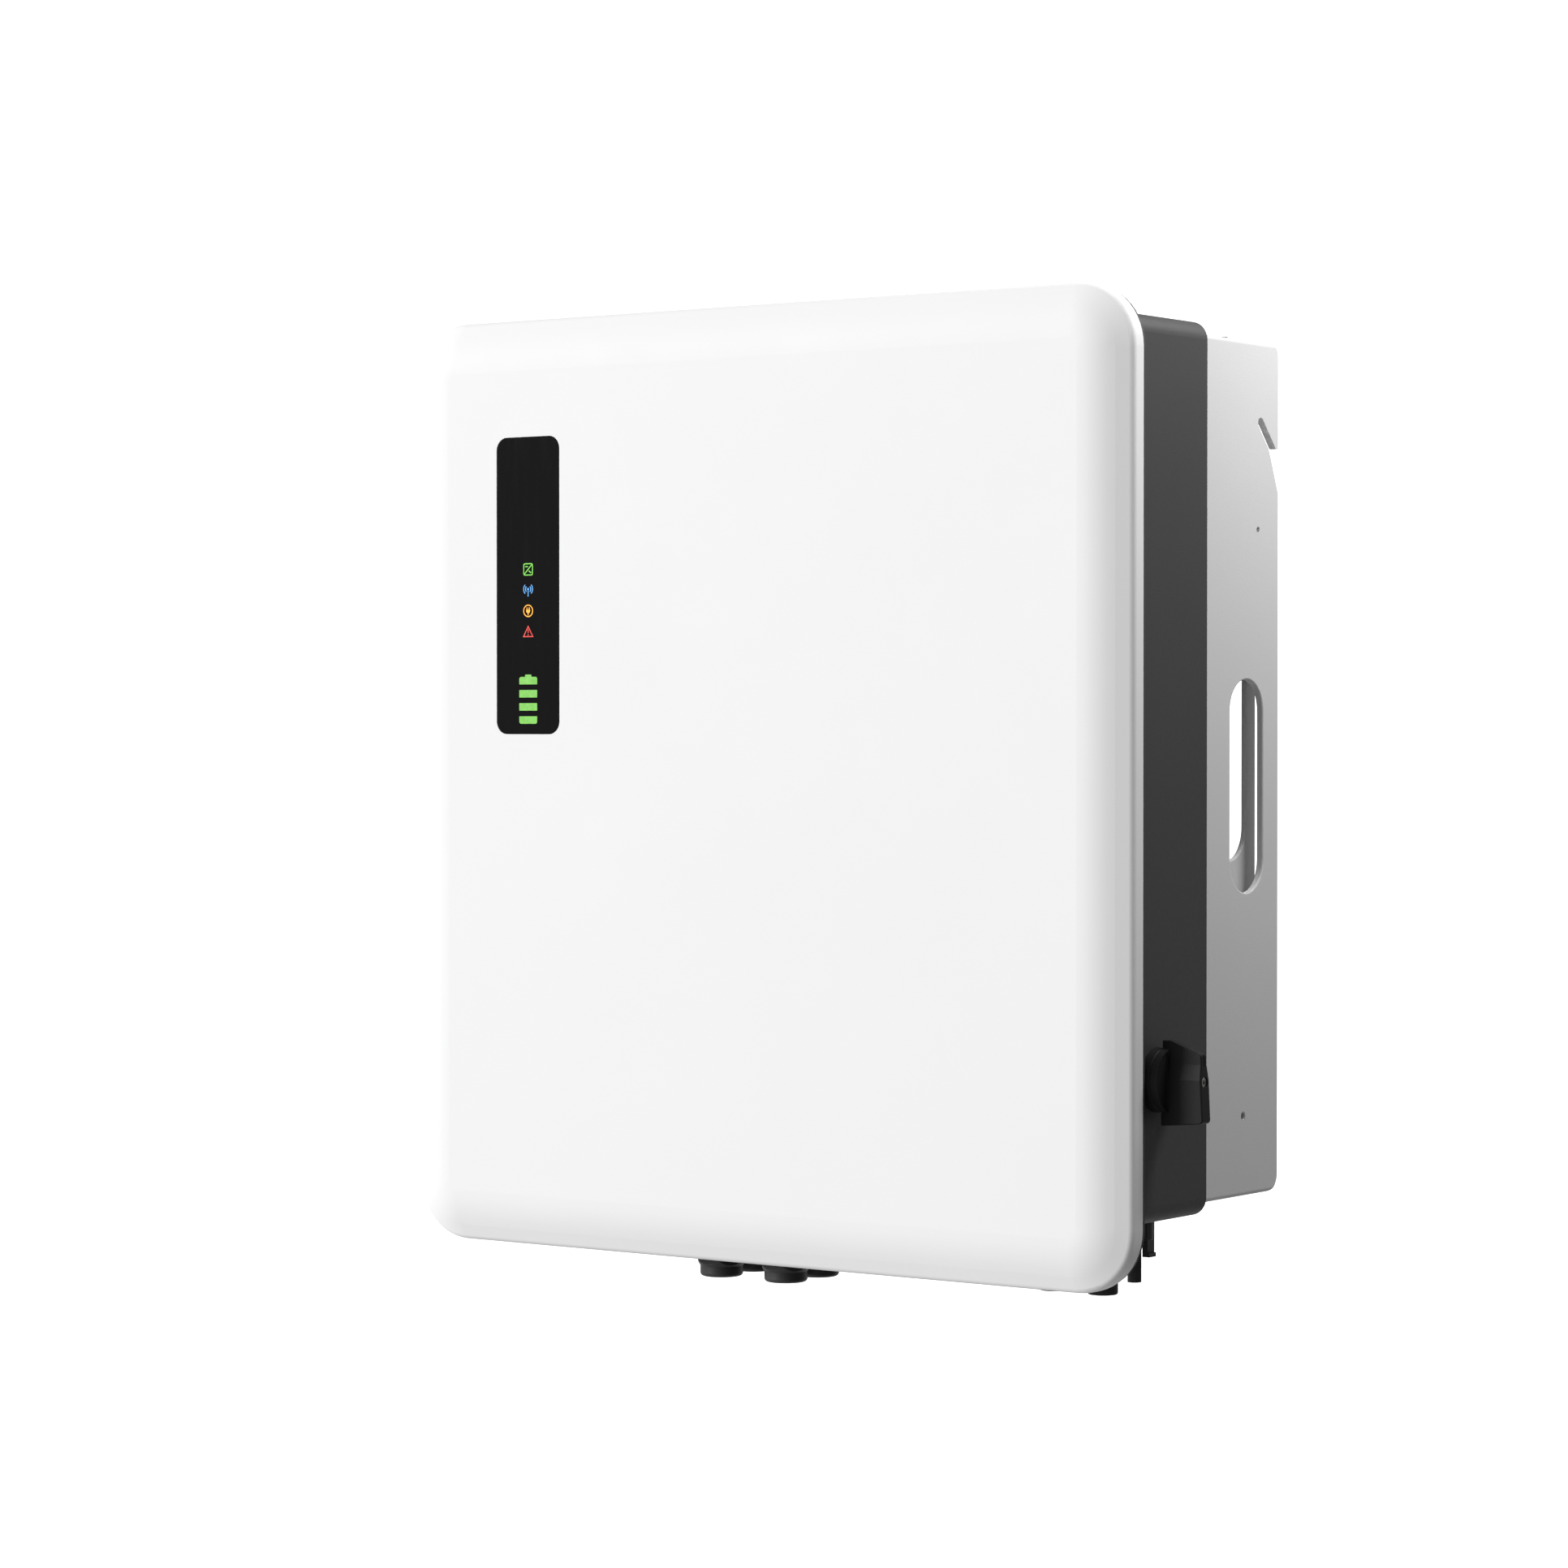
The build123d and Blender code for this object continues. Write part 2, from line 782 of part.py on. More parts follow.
with BuildPart() as heatsink_gasket:
    with BuildSketch(facing_front(housing_rear)):
        with Locations((0, power_board_rise)):
            Rectangle(
                window_width + 2 * (sink_gasket_gap + sink_gasket_width),
                window_height + 2 * (sink_gasket_gap + sink_gasket_width),
            )
            Rectangle(
                window_width + 2 * sink_gasket_gap,
                window_height + 2 * sink_gasket_gap,
                mode=Mode.SUBTRACT,
            )
    extrude(amount=-sink_gasket_depth)
pieces["heatsink_gasket"] = heatsink_gasket

with BuildPart() as heatsink:
    with BuildSketch(facing_front(housing_rear)):
        with Locations((0, housing_middle)):
            Rectangle(sink_width, sink_height)
    extrude(amount=-sink_base)
    with BuildSketch(facing_front(housing_rear + sink_base)):
        with Locations((0, housing_middle)):
            with GridLocations(fin_pitch, 0, fin_count, 1):
                Rectangle(fin_thickness, sink_height)
    extrude(amount=-fin_depth)
    add(heatsink_gasket.part, mode=Mode.SUBTRACT)
    with BuildSketch(facing_front(housing_rear)):
        with Locations(*sink_screw_points):
            Circle(large_shank)
    extrude(amount=-sink_screw_bite, mode=Mode.SUBTRACT)
pieces["heatsink"] = heatsink

pieces["heatsink_screws"] = screw_set(
    facing_front(inner_back),
    sink_screw_points,
    large_shank,
    housing_back + sink_screw_bite - screw_tip_gap,
)

# ---------------------------------------------------------------- side plates
plate_height = plate_top - plate_bottom
plate_middle = (plate_top + plate_bottom) / 2
flange_screw_depths = (housing_rear + flange_screw_near, housing_rear + flange_screw_far)
flange_screw_x = stiffener_face - flange_screw_inset
hook_mouth = hang_height - hook_drop
hook_run = hook_drop / sin(radians(hook_slot_angle))
mouth_width = hook_slot_width / sin(radians(hook_slot_angle))
mouth_middle = hook_seat_depth + hook_run * cos(radians(hook_slot_angle))


# Slanted slot from the hook's seat down to its mouth, and the relief under the mouth.
notch_direction = Vector(cos(radians(hook_slot_angle)), -sin(radians(hook_slot_angle)))
notch_across = Vector(-notch_direction.Y, notch_direction.X) * (hook_slot_width / 2)
hook_seat = Vector(hook_seat_depth, hang_height)
front_mouth = (mouth_middle - mouth_width / 2, hook_mouth)
rear_mouth = (mouth_middle + mouth_width / 2, hook_mouth)
with BuildSketch(facing_right(housing_side)) as hook_notch:
    with BuildLine():
        Line(front_mouth, hook_seat - notch_across)
        ThreePointArc(
            hook_seat - notch_across,
            hook_seat - notch_direction * (hook_slot_width / 2),
            hook_seat + notch_across,
        )
        Line(hook_seat + notch_across, rear_mouth)
        Line(rear_mouth, front_mouth)
    make_face()
    with BuildLine():
        Polyline(
            front_mouth,
            (wall_depth + 1, hook_mouth),
            (wall_depth + 1, hook_mouth - hook_relief_height),
            (wall_depth, hook_mouth - hook_relief_height),
            (wall_depth - hook_relief_width, hook_mouth - hook_relief_step),
            close=True,
        )
    make_face()

with BuildPart() as side_plate_right:
    with BuildSketch(facing_right(housing_side)):
        with Locations((housing_rear + plate_depth / 2, plate_middle)):
            Rectangle(plate_depth, plate_height)
    extrude(amount=-plate_thickness)
    with BuildSketch(facing_right(housing_side)):
        for flange_height in (plate_top - plate_thickness / 2, plate_bottom + plate_thickness / 2):
            with Locations((housing_rear + (plate_depth - plate_bottom_corner) / 2, flange_height)):
                Rectangle(plate_depth - plate_bottom_corner, plate_thickness)
    extrude(amount=-plate_flange)
    outer_bends = side_plate_right.edges().filter_by(Axis.Y).group_by(Axis.X)[-1]
    fillet(outer_bends, plate_bend_radius)
    # rounded rear corners
    with BuildSketch(facing_right(housing_side)) as plate_outline:
        with Locations((housing_rear + plate_depth / 2, plate_middle)):
            Rectangle(plate_depth, plate_height)
        fillet(plate_outline.vertices().group_by(Axis.X)[-1].sort_by(Axis.Y)[-1], plate_top_corner)
        fillet(plate_outline.vertices().group_by(Axis.X)[-1].sort_by(Axis.Y)[0], plate_bottom_corner)
    extrude(amount=-plate_flange, mode=Mode.INTERSECT)
    extrude(hook_notch.sketch, amount=-plate_thickness, mode=Mode.SUBTRACT)
    with BuildSketch(facing_right(housing_side)):
        with Locations((wall_depth - lock_hole_setback, lock_hole_height)):
            Circle(lock_hole_radius)
        with Locations((wall_depth - tie_hole_setback, tie_hole_height)):
            Circle(tie_hole_radius)
    extrude(amount=-plate_thickness, mode=Mode.SUBTRACT)
    with BuildSketch(facing_right(housing_side)):
        with Locations((hand_slot_depth, 0)):
            SlotOverall(hand_slot_length, hand_slot_width, rotation=90)
    extrude(amount=-plate_thickness, mode=Mode.SUBTRACT)
    slot_edges = (
        side_plate_right.edges()
        .filter_by(lambda edge: abs(edge.center().Z + hang_height) < hand_slot_length / 2 + 1)
        .filter_by(lambda edge: edge.center().Y < -10 and edge.center().Y > 5 - plate_depth)
    )
    fillet(slot_edges, plate_edge_round)
    with BuildSketch(facing_up(plate_top)):
        with Locations(*[(flange_screw_x, depth) for depth in flange_screw_depths]):
            Circle(medium_shank)
    extrude(amount=-plate_height, mode=Mode.SUBTRACT)
pieces["side_plate_right"] = side_plate_right

stiffener_depth = plate_depth - stiffener_setback
stiffener_flange_depth = stiffener_depth - 4.0
inner_slot_height = inner_slot_rise - hang_height
stiffener_top = plate_top - plate_thickness
stiffener_bottom = plate_bottom + plate_thickness

with BuildPart() as side_stiffener_right:
    with BuildSketch(facing_right(stiffener_face)):
        with Locations((housing_rear + stiffener_depth / 2, plate_middle)):
            Rectangle(stiffener_depth, stiffener_top - stiffener_bottom)
    extrude(amount=-stiffener_thickness)
    with BuildSketch(facing_right(stiffener_face)):
        for flange_height in (
            stiffener_top - stiffener_thickness / 2,
            stiffener_bottom + stiffener_thickness / 2,
        ):
            with Locations((housing_rear + stiffener_flange_depth / 2, flange_height)):
                Rectangle(stiffener_flange_depth, stiffener_thickness)
        with Locations((housing_rear + stiffener_thickness / 2, plate_middle)):
            Rectangle(stiffener_thickness, stiffener_top - stiffener_bottom)
    extrude(amount=-stiffener_flange)
    with BuildSketch(facing_right(stiffener_face)):
        with Locations((hand_slot_depth, inner_slot_rise)):
            SlotOverall(hand_slot_length, hand_slot_width, rotation=90)
        with Locations((wall_depth, hang_height - hook_drop / 2)):
            Rectangle(2 * (hook_seat_setback + hook_room), hook_drop + hook_room_height)
    extrude(amount=-stiffener_thickness, mode=Mode.SUBTRACT)
    inner_slot_edges = (
        side_stiffener_right.edges()
        .filter_by(lambda edge: abs(edge.center().Z - inner_slot_height) < hand_slot_length / 2 + 1)
        .filter_by(lambda edge: edge.center().Y < -10 and edge.center().Y > 5 - plate_depth)
    )
    fillet(inner_slot_edges, plate_edge_round)
    with BuildSketch(facing_up(stiffener_top)):
        with Locations(*[(flange_screw_x, depth) for depth in flange_screw_depths]):
            Circle(medium_shank)
    extrude(amount=stiffener_bottom - stiffener_top, mode=Mode.SUBTRACT)
    with BuildSketch(facing_front(housing_rear)):
        with Locations(*[(stiffener_screw_x, z) for z in stiffener_screw_heights]):
            Circle(medium_shank)
    extrude(amount=-stiffener_thickness, mode=Mode.SUBTRACT)
pieces["side_stiffener_right"] = side_stiffener_right

with BuildPart() as side_plate_left:
    mirror(side_plate_right.part, about=Plane.YZ)
pieces["side_plate_left"] = side_plate_left

with BuildPart() as side_stiffener_left:
    mirror(side_stiffener_right.part, about=Plane.YZ)
pieces["side_stiffener_left"] = side_stiffener_left

flange_screw_length = plate_thickness + stiffener_thickness + 3.0
flange_points = [(side * flange_screw_x, depth) for side in (-1, 1) for depth in flange_screw_depths]
top_screws = screw_set(facing_up(plate_top), flange_points, medium_shank, flange_screw_length)
bottom_face = Plane(facing_up(plate_bottom).origin, x_dir=(1, 0, 0), z_dir=(0, 0, -1))
bottom_screws = screw_set(
    bottom_face, [(x, -depth) for x, depth in flange_points], medium_shank, flange_screw_length
)
with BuildPart() as flange_screws:
    add(top_screws.part)
    add(bottom_screws.part)
pieces["flange_screws"] = flange_screws

stiffener_rear = Plane(
    facing_front(housing_rear + stiffener_thickness).origin, x_dir=(1, 0, 0), z_dir=(0, 1, 0)
)
stiffener_points = [(side * stiffener_screw_x, -z) for side in (-1, 1) for z in stiffener_screw_heights]
pieces["stiffener_screws"] = screw_set(
    stiffener_rear,
    stiffener_points,
    medium_shank,
    stiffener_thickness + stiffener_screw_bite - screw_tip_gap,
)

# ---------------------------------------------------------------- switch
collar_spigot = 5.9
collar_face = housing_side + collar_length
disc_start = collar_face + handle_gap
disc_end = disc_start + handle_disc_length
handle_end = housing_side + handle_reach
shaft_start = housing_side - housing_wall - switch_body_length + 6.0
shaft_end = handle_end - handle_screw_setback
seal_width = 1.6
seal_outer = 5.6

with BuildPart() as switch_collar:
    with BuildSketch(facing_right(housing_side)):
        with Locations((switch_depth, switch_height)):
            Circle(collar_radius)
    extrude(amount=collar_length)
    fillet(switch_collar.edges().group_by(Axis.X)[-1], 0.6)
    with BuildSketch(facing_right(housing_side)):
        with Locations((switch_depth, switch_height)):
            Circle(collar_spigot)
    extrude(amount=-collar_spigot_length)
    with BuildSketch(facing_right(collar_face)):
        with Locations((switch_depth, switch_height)):
            Circle(shaft_radius + running_gap)
    extrude(amount=-collar_length - collar_spigot_length, mode=Mode.SUBTRACT)
    with BuildSketch(facing_right(housing_side)):
        with Locations(*switch_screw_points):
            Circle(small_shank)
    extrude(amount=4.0, mode=Mode.SUBTRACT)
pieces["switch_collar"] = switch_collar

with BuildPart() as switch_seal:
    with BuildSketch(facing_right(housing_side - housing_wall)):
        with Locations((switch_depth, switch_height)):
            Circle(seal_outer)
            Circle(shaft_radius + running_gap, mode=Mode.SUBTRACT)
    extrude(amount=seal_width)
pieces["switch_seal"] = switch_seal

# The handle is a disc with a tall grip across it. The grip overhangs the collar
# at both ends with a short tab, and is narrower towards the end that points up.
tab_start = disc_end - handle_tab
grip_waist = [
    (handle_top_half, handle_up + 1.0),
    (handle_top_half + 0.2, 9.0),
    (handle_middle_half, 1.0),
    (handle_bottom_half, -handle_down - 1.0),
]
grip_outline = [(switch_depth + y, switch_height + z) for y, z in grip_waist]
grip_outline += [(switch_depth - y, switch_height + z) for y, z in reversed(grip_waist)]
screw_recess_radius = 2.9
handle_screw_head = 2.6
handle_screw_shank = 1.5

with BuildPart() as switch_handle:
    with BuildSketch(facing_front(0)) as grip_side:
        with BuildLine():
            Polyline(
                (tab_start, switch_height + handle_up),
                (disc_end + 1.0, switch_height + handle_up),
                (handle_end - handle_tip_lean, switch_height + handle_up_tip),
                (handle_end, switch_height - handle_down_tip),
                (tab_start, switch_height - handle_down),
                close=True,
            )
        make_face()
        outer_corners = grip_side.vertices().sort_by(Axis.X)[-2:]
        fillet(outer_corners, handle_corner_radius)
    extrude(amount=-switch_depth - 20.0)
    with BuildSketch(facing_right(tab_start)):
        Polygon(*grip_outline, align=None)
    extrude(amount=60.0, mode=Mode.INTERSECT)
    with BuildSketch(facing_right(tab_start)):
        with Locations((switch_depth, switch_height)):
            Circle(collar_radius + handle_tab_clearance)
    extrude(amount=disc_start - tab_start, mode=Mode.SUBTRACT)
    grip_edges = switch_handle.edges().filter_by(lambda edge: edge.center().X > disc_end + 2.0)
    fillet(grip_edges, 0.8)
    with BuildSketch(facing_right(disc_start)):
        with Locations((switch_depth, switch_height)):
            Circle(collar_radius)
    extrude(amount=handle_disc_length)
    # crescent pockets either side of the grip, square socket for the shaft, screw recess
    with BuildSketch(facing_right(disc_end)):
        with Locations((switch_depth, switch_height)):
            Circle(collar_radius - handle_rim)
            Rectangle(2 * (handle_middle_half + handle_rim), 3 * collar_radius, mode=Mode.SUBTRACT)
    extrude(amount=-0.6, mode=Mode.SUBTRACT)
    with BuildSketch(facing_right(disc_start)):
        with Locations((switch_depth, switch_height)):
            Rectangle(drive_square, drive_square)
    extrude(amount=shaft_end - disc_start, mode=Mode.SUBTRACT)
    with BuildSketch(facing_right(shaft_end)):
        with Locations((switch_depth, switch_height)):
            Circle(handle_screw_shank + running_gap)
    extrude(amount=handle_end - shaft_end, mode=Mode.SUBTRACT)
    with BuildSketch(facing_right(handle_end)):
        with Locations((switch_depth, switch_height)):
            Circle(screw_recess_radius)
    extrude(amount=shaft_end + handle_screw_seat - handle_end, mode=Mode.SUBTRACT)
    # pointer groove at the top of the end face
    with BuildSketch(facing_right(handle_end)):
        with Locations((switch_depth, switch_height + handle_up_tip - handle_groove_length / 2)):
            Rectangle(0.7, handle_groove_length)
    extrude(amount=-handle_tip_lean - 0.6, mode=Mode.SUBTRACT)
pieces["switch_handle"] = switch_handle

with BuildPart() as switch_shaft:
    with BuildSketch(facing_right(shaft_start)):
        with Locations((switch_depth, switch_height)):
            Circle(shaft_radius)
    extrude(amount=disc_start - shaft_start)
    with BuildSketch(facing_right(disc_start)):
        with Locations((switch_depth, switch_height)):
            Rectangle(drive_square, drive_square)
    extrude(amount=shaft_end - disc_start)
    with BuildSketch(facing_right(shaft_end)):
        with Locations((switch_depth, switch_height)):
            Circle(handle_screw_shank)
    extrude(amount=-9.0, mode=Mode.SUBTRACT)
pieces["switch_shaft"] = switch_shaft

with BuildPart() as switch_handle_screw:
    with BuildSketch(facing_right(shaft_end + handle_screw_seat)):
        with Locations((switch_depth, switch_height)):
            Circle(handle_screw_head)
    extrude(amount=handle_screw_head_height)
    with BuildSketch(facing_right(shaft_end + handle_screw_seat)):
        with Locations((switch_depth, switch_height)):
            Circle(handle_screw_shank)
    extrude(amount=-11.0)
    with BuildSketch(facing_right(shaft_end + handle_screw_seat + handle_screw_head_height)):
        with Locations((switch_depth, switch_height)):
            RegularPolygon(1.4, 6)
    extrude(amount=-1.3, mode=Mode.SUBTRACT)
pieces["switch_handle_screw"] = switch_handle_screw

# The contact block is bolted inside the wall, with a rotor that the shaft turns.
block_front = housing_front + rim_thickness + 1.5
block_depth = 40.0
block_outer = housing_side - housing_wall - seal_width
rotor_length = 40.0
rotor_outer = block_outer - rotor_inset
blade_thickness = 1.5
blade_pitch = 12.0
blade_count = 3
contact_width = 6.0
contact_tail = 6.0
block_rear = block_front + block_depth
blade_tip = switch_depth + blade_reach

with BuildPart() as switch_body:
    with BuildSketch(facing_right(block_outer)):
        with Locations((block_front + block_depth / 2, switch_height)):
            RectangleRounded(block_depth, switch_body_height, 2.0)
    extrude(amount=-switch_body_length)
    with BuildSketch(facing_right(block_outer)):
        with Locations((switch_depth, switch_height)):
            Circle(seal_outer + 0.4)
        with Locations(*switch_screw_points):
            Circle(small_shank)
    extrude(amount=-3.0, mode=Mode.SUBTRACT)
    with BuildSketch(facing_right(block_outer)):
        with Locations((switch_depth, switch_height)):
            Circle(shaft_radius + running_gap)
    extrude(amount=-switch_body_length + 2.0, mode=Mode.SUBTRACT)
    with BuildSketch(facing_right(rotor_outer)):
        with Locations((switch_depth, switch_height)):
            Circle(rotor_radius + running_gap)
    extrude(amount=-rotor_length - 2 * rotor_gap, mode=Mode.SUBTRACT)
    # slots for the fixed contacts, opening at the back of the block
    with BuildSketch(facing_front(block_rear)):
        for i in range(blade_count):
            slot_x = rotor_outer - blade_inset - blade_pitch * i
            with Locations(*[(slot_x, switch_height + blade_offset * side) for side in (-1, 1)]):
                Rectangle(contact_width, blade_thickness)
    extrude(amount=block_rear - blade_tip + blade_clearance, mode=Mode.SUBTRACT)
pieces["switch_body"] = switch_body

with BuildPart() as switch_rotor:
    with BuildSketch(facing_right(rotor_outer - rotor_gap)):
        with Locations((switch_depth, switch_height)):
            Circle(rotor_radius)
            Circle(shaft_radius, mode=Mode.SUBTRACT)
    extrude(amount=-rotor_length)
pieces["switch_rotor"] = switch_rotor

with BuildPart() as switch_contacts:
    with BuildSketch(facing_front(block_rear + contact_tail)):
        for i in range(blade_count):
            slot_x = rotor_outer - blade_inset - blade_pitch * i
            with Locations(*[(slot_x, switch_height + blade_offset * side) for side in (-1, 1)]):
                Rectangle(contact_width, blade_thickness)
    extrude(amount=block_rear + contact_tail - blade_tip)
pieces["switch_contacts"] = switch_contacts

# ---------------------------------------------------------------- wiring box and glands
gland_points = corner_points(gland_pitch_x, gland_pitch_y, gland_x, gland_depth)
box_bottom = housing_bottom - box_height
cap_gap = 0.3
cap_top = box_bottom - gland_hex_height - cap_gap
cap_bottom = cap_top - gland_cap_length
cap_end_wall = 4.5
cap_trim_angle = 35.0
thread_radius = 9.4
thread_bottom = cap_bottom + cap_end_wall + 2.5
seal_bottom = cap_bottom + cap_end_wall + cap_gap
thread_top = box_bottom + box_wall + locknut_height + locknut_tail

with BuildPart() as wiring_box_gasket:
    with BuildSketch(facing_up(housing_bottom)):
        with Locations((gland_x, gland_depth)):
            RectangleRounded(
                box_cavity_width + 2 * (box_lip + box_gasket_width),
                box_cavity_length + 2 * (box_lip + box_gasket_width),
                5.0,
            )
            RectangleRounded(
                box_cavity_width + 2 * box_lip,
                box_cavity_length + 2 * box_lip,
                4.0,
                mode=Mode.SUBTRACT,
            )
    extrude(amount=-box_gasket_depth)
pieces["wiring_box_gasket"] = wiring_box_gasket

with BuildPart() as wiring_box:
    with BuildSketch(facing_up(housing_bottom)):
        with Locations((gland_x, gland_depth)):
            RectangleRounded(box_width, box_length, 6.0)
    extrude(amount=-box_height)
    fillet(wiring_box.faces().sort_by(Axis.Z)[0].edges(), 2.0)
    with BuildSketch(facing_up(housing_bottom)):
        with Locations((gland_x, gland_depth)):
            RectangleRounded(box_cavity_width, box_cavity_length, 4.0)
    extrude(amount=box_wall - box_height, mode=Mode.SUBTRACT)
    add(wiring_box_gasket.part, mode=Mode.SUBTRACT)
    with BuildSketch(facing_up(box_bottom)):
        with Locations(*gland_points):
            Circle(gland_thread_radius)
    extrude(amount=box_wall, mode=Mode.SUBTRACT)
    with BuildSketch(facing_up(housing_bottom)):
        with Locations(*box_screw_points):
            Circle(medium_shank)
    extrude(amount=-box_height, mode=Mode.SUBTRACT)
pieces["wiring_box"] = wiring_box

pieces["wiring_box_screws"] = screw_set(
    Plane(facing_up(box_bottom).origin, x_dir=(1, 0, 0), z_dir=(0, 0, -1)),
    [(x, -depth) for x, depth in box_screw_points],
    medium_shank,
    box_height + housing_wall + 3.0,
)

with BuildPart() as gland_bodies:
    with BuildSketch(facing_up(box_bottom)):
        with Locations(*gland_points):
            RegularPolygon(gland_flats / 2, 6, major_radius=False)
    extrude(amount=-gland_hex_height)
    chamfer(gland_bodies.edges().group_by(Axis.Z)[-1], 0.6)
    with BuildSketch(facing_up(box_bottom)):
        with Locations(*gland_points):
            Circle(gland_thread_radius)
    extrude(amount=thread_top - box_bottom)
    with BuildSketch(facing_up(box_bottom - gland_hex_height)):
        with Locations(*gland_points):
            Circle(thread_radius)
    extrude(amount=thread_bottom - box_bottom + gland_hex_height)
    with BuildSketch(facing_up(thread_top)):
        with Locations(*gland_points):
            Circle(gland_bore)
    extrude(amount=thread_bottom - thread_top, mode=Mode.SUBTRACT)
pieces["gland_bodies"] = gland_bodies

with BuildPart() as gland_locknuts:
    with BuildSketch(facing_up(box_bottom + box_wall)):
        with Locations(*gland_points):
            RegularPolygon(locknut_flats / 2, 6, major_radius=False)
            Circle(gland_thread_radius, mode=Mode.SUBTRACT)
    extrude(amount=locknut_height)
pieces["gland_locknuts"] = gland_locknuts

with BuildPart() as gland_seals:
    with BuildSketch(facing_up(seal_bottom)):
        with Locations(*gland_points):
            Circle(gland_bore)
            Circle(gland_plug_radius, mode=Mode.SUBTRACT)
    extrude(amount=12.0)
pieces["gland_seals"] = gland_seals

with BuildPart() as gland_plugs:
    with BuildSketch(facing_up(cap_bottom + 1.5)):
        with Locations(*gland_points):
            Circle(gland_plug_radius)
    extrude(amount=16.0)
pieces["gland_plugs"] = gland_plugs

for number, gland_point in enumerate(gland_points, start=1):
    with BuildPart() as gland_nut:
        with BuildSketch(facing_up(cap_top)):
            with Locations(gland_point):
                RegularPolygon(gland_flats / 2, 6, major_radius=False)
        extrude(amount=-gland_cap_hex_height)
        # a cone trims the hexagon's lower corners into scallops
        with BuildSketch(facing_up(cap_top - gland_cap_hex_height)):
            with Locations(gland_point):
                Circle(gland_cap_radius)
        extrude(amount=gland_cap_hex_height, taper=-cap_trim_angle, mode=Mode.INTERSECT)
        with BuildSketch(facing_up(cap_top)):
            with Locations(gland_point):
                Circle(gland_cap_radius)
        extrude(amount=-gland_cap_length)
        fillet(gland_nut.edges().group_by(Axis.Z)[0], gland_cap_end_radius)
        with BuildSketch(facing_up(cap_top)):
            with Locations(gland_point):
                Circle(thread_radius + 2 * running_gap)
        extrude(amount=cap_end_wall - gland_cap_length, mode=Mode.SUBTRACT)
        with BuildSketch(facing_up(cap_bottom)):
            with Locations(gland_point):
                Circle(gland_bore - 0.8)
        extrude(amount=cap_end_wall, mode=Mode.SUBTRACT)
    pieces[f"gland_nut_{number}"] = gland_nut

# ---------------------------------------------------------------- connectors
with BuildPart() as pv_sockets:
    with BuildSketch(facing_up(housing_bottom)):
        with Locations(*pv_points):
            Circle(pv_flange_radius)
    extrude(amount=-connector_flange)
    with BuildSketch(facing_up(housing_bottom + housing_wall + shank_inside)):
        with Locations(*pv_points):
            Circle(pv_shank)
    extrude(amount=-housing_wall - shank_inside)
    with BuildSketch(facing_up(housing_bottom)):
        with Locations(*pv_points):
            Circle(pv_socket_radius - pv_socket_wall)
    extrude(amount=pv_socket_wall - pv_socket_length)
    with BuildSketch(facing_up(housing_bottom)):
        with Locations(*pv_points):
            Circle(pv_socket_radius)
    extrude(amount=pv_cap_length - pv_socket_length)
pieces["pv_sockets"] = pv_sockets

with BuildPart() as pv_socket_caps:
    with BuildSketch(facing_up(housing_bottom - pv_socket_length)):
        with Locations(*pv_points):
            Circle(pv_socket_radius)
    extrude(amount=pv_cap_length)
    fillet(pv_socket_caps.edges().group_by(Axis.Z)[0], 1.0)
    with BuildSketch(facing_up(housing_bottom - pv_socket_length + pv_socket_wall)):
        with Locations(*pv_points):
            Circle(pv_socket_radius - pv_socket_wall)
    extrude(amount=pv_cap_length - pv_socket_wall, mode=Mode.SUBTRACT)
pieces["pv_socket_caps"] = pv_socket_caps

# Each rear connector has a slim contact barrel between two barbed locking arms.
arm_middle = pv_flange_radius - pv_arm_thickness / 2 - 0.4
barb_height = 2.2
with BuildPart() as pv_plugs:
    with BuildSketch(facing_up(housing_bottom)):
        with Locations(*pv_back_points):
            Circle(pv_flange_radius)
    extrude(amount=-pv_collar_length)
    fillet(pv_plugs.edges().group_by(Axis.Z)[0], 0.8)
    with BuildSketch(facing_up(housing_bottom + housing_wall + shank_inside)):
        with Locations(*pv_back_points):
            Circle(pv_shank)
    extrude(amount=-housing_wall - shank_inside)
    with BuildSketch(facing_up(housing_bottom)):
        with Locations(*pv_back_points):
            Circle(pv_barrel_radius)
    extrude(amount=-pv_barrel_length)
    with BuildSketch(facing_up(housing_bottom)):
        for side in (-1, 1):
            with Locations(*[(x + side * arm_middle, depth) for x, depth in pv_back_points]):
                Rectangle(pv_arm_thickness, pv_arm_width)
    extrude(amount=-pv_arm_length)
    with BuildSketch(facing_up(housing_bottom - pv_arm_length)):
        for side in (-1, 1):
            with Locations(*[(x + side * (arm_middle + 0.5), depth) for x, depth in pv_back_points]):
                Rectangle(pv_arm_thickness + 1.0, pv_arm_width)
    extrude(amount=barb_height)
    # lengthwise groove in the barrel, contact bore and the oval windows in the collar
    with BuildSketch(facing_up(housing_bottom - pv_barrel_length)):
        with Locations(*pv_back_points):
            Circle(1.8)
        with Locations(*[(x + pv_barrel_radius, depth) for x, depth in pv_back_points]):
            Rectangle(1.0, 0.9)
    extrude(amount=pv_barrel_length - pv_collar_length, mode=Mode.SUBTRACT)
    for x, depth in pv_back_points:
        with BuildSketch(facing_front(depth + pv_flange_radius)):
            with Locations((x, housing_bottom - pv_collar_length / 2)):
                SlotOverall(pv_collar_length - 3.0, 5.0, rotation=90)
        extrude(amount=1.6, mode=Mode.SUBTRACT)
        with BuildSketch(facing_front(depth - pv_flange_radius)):
            with Locations((x, housing_bottom - pv_collar_length / 2)):
                SlotOverall(pv_collar_length - 3.0, 5.0, rotation=90)
        extrude(amount=-1.6, mode=Mode.SUBTRACT)
pieces["pv_plugs"] = pv_plugs

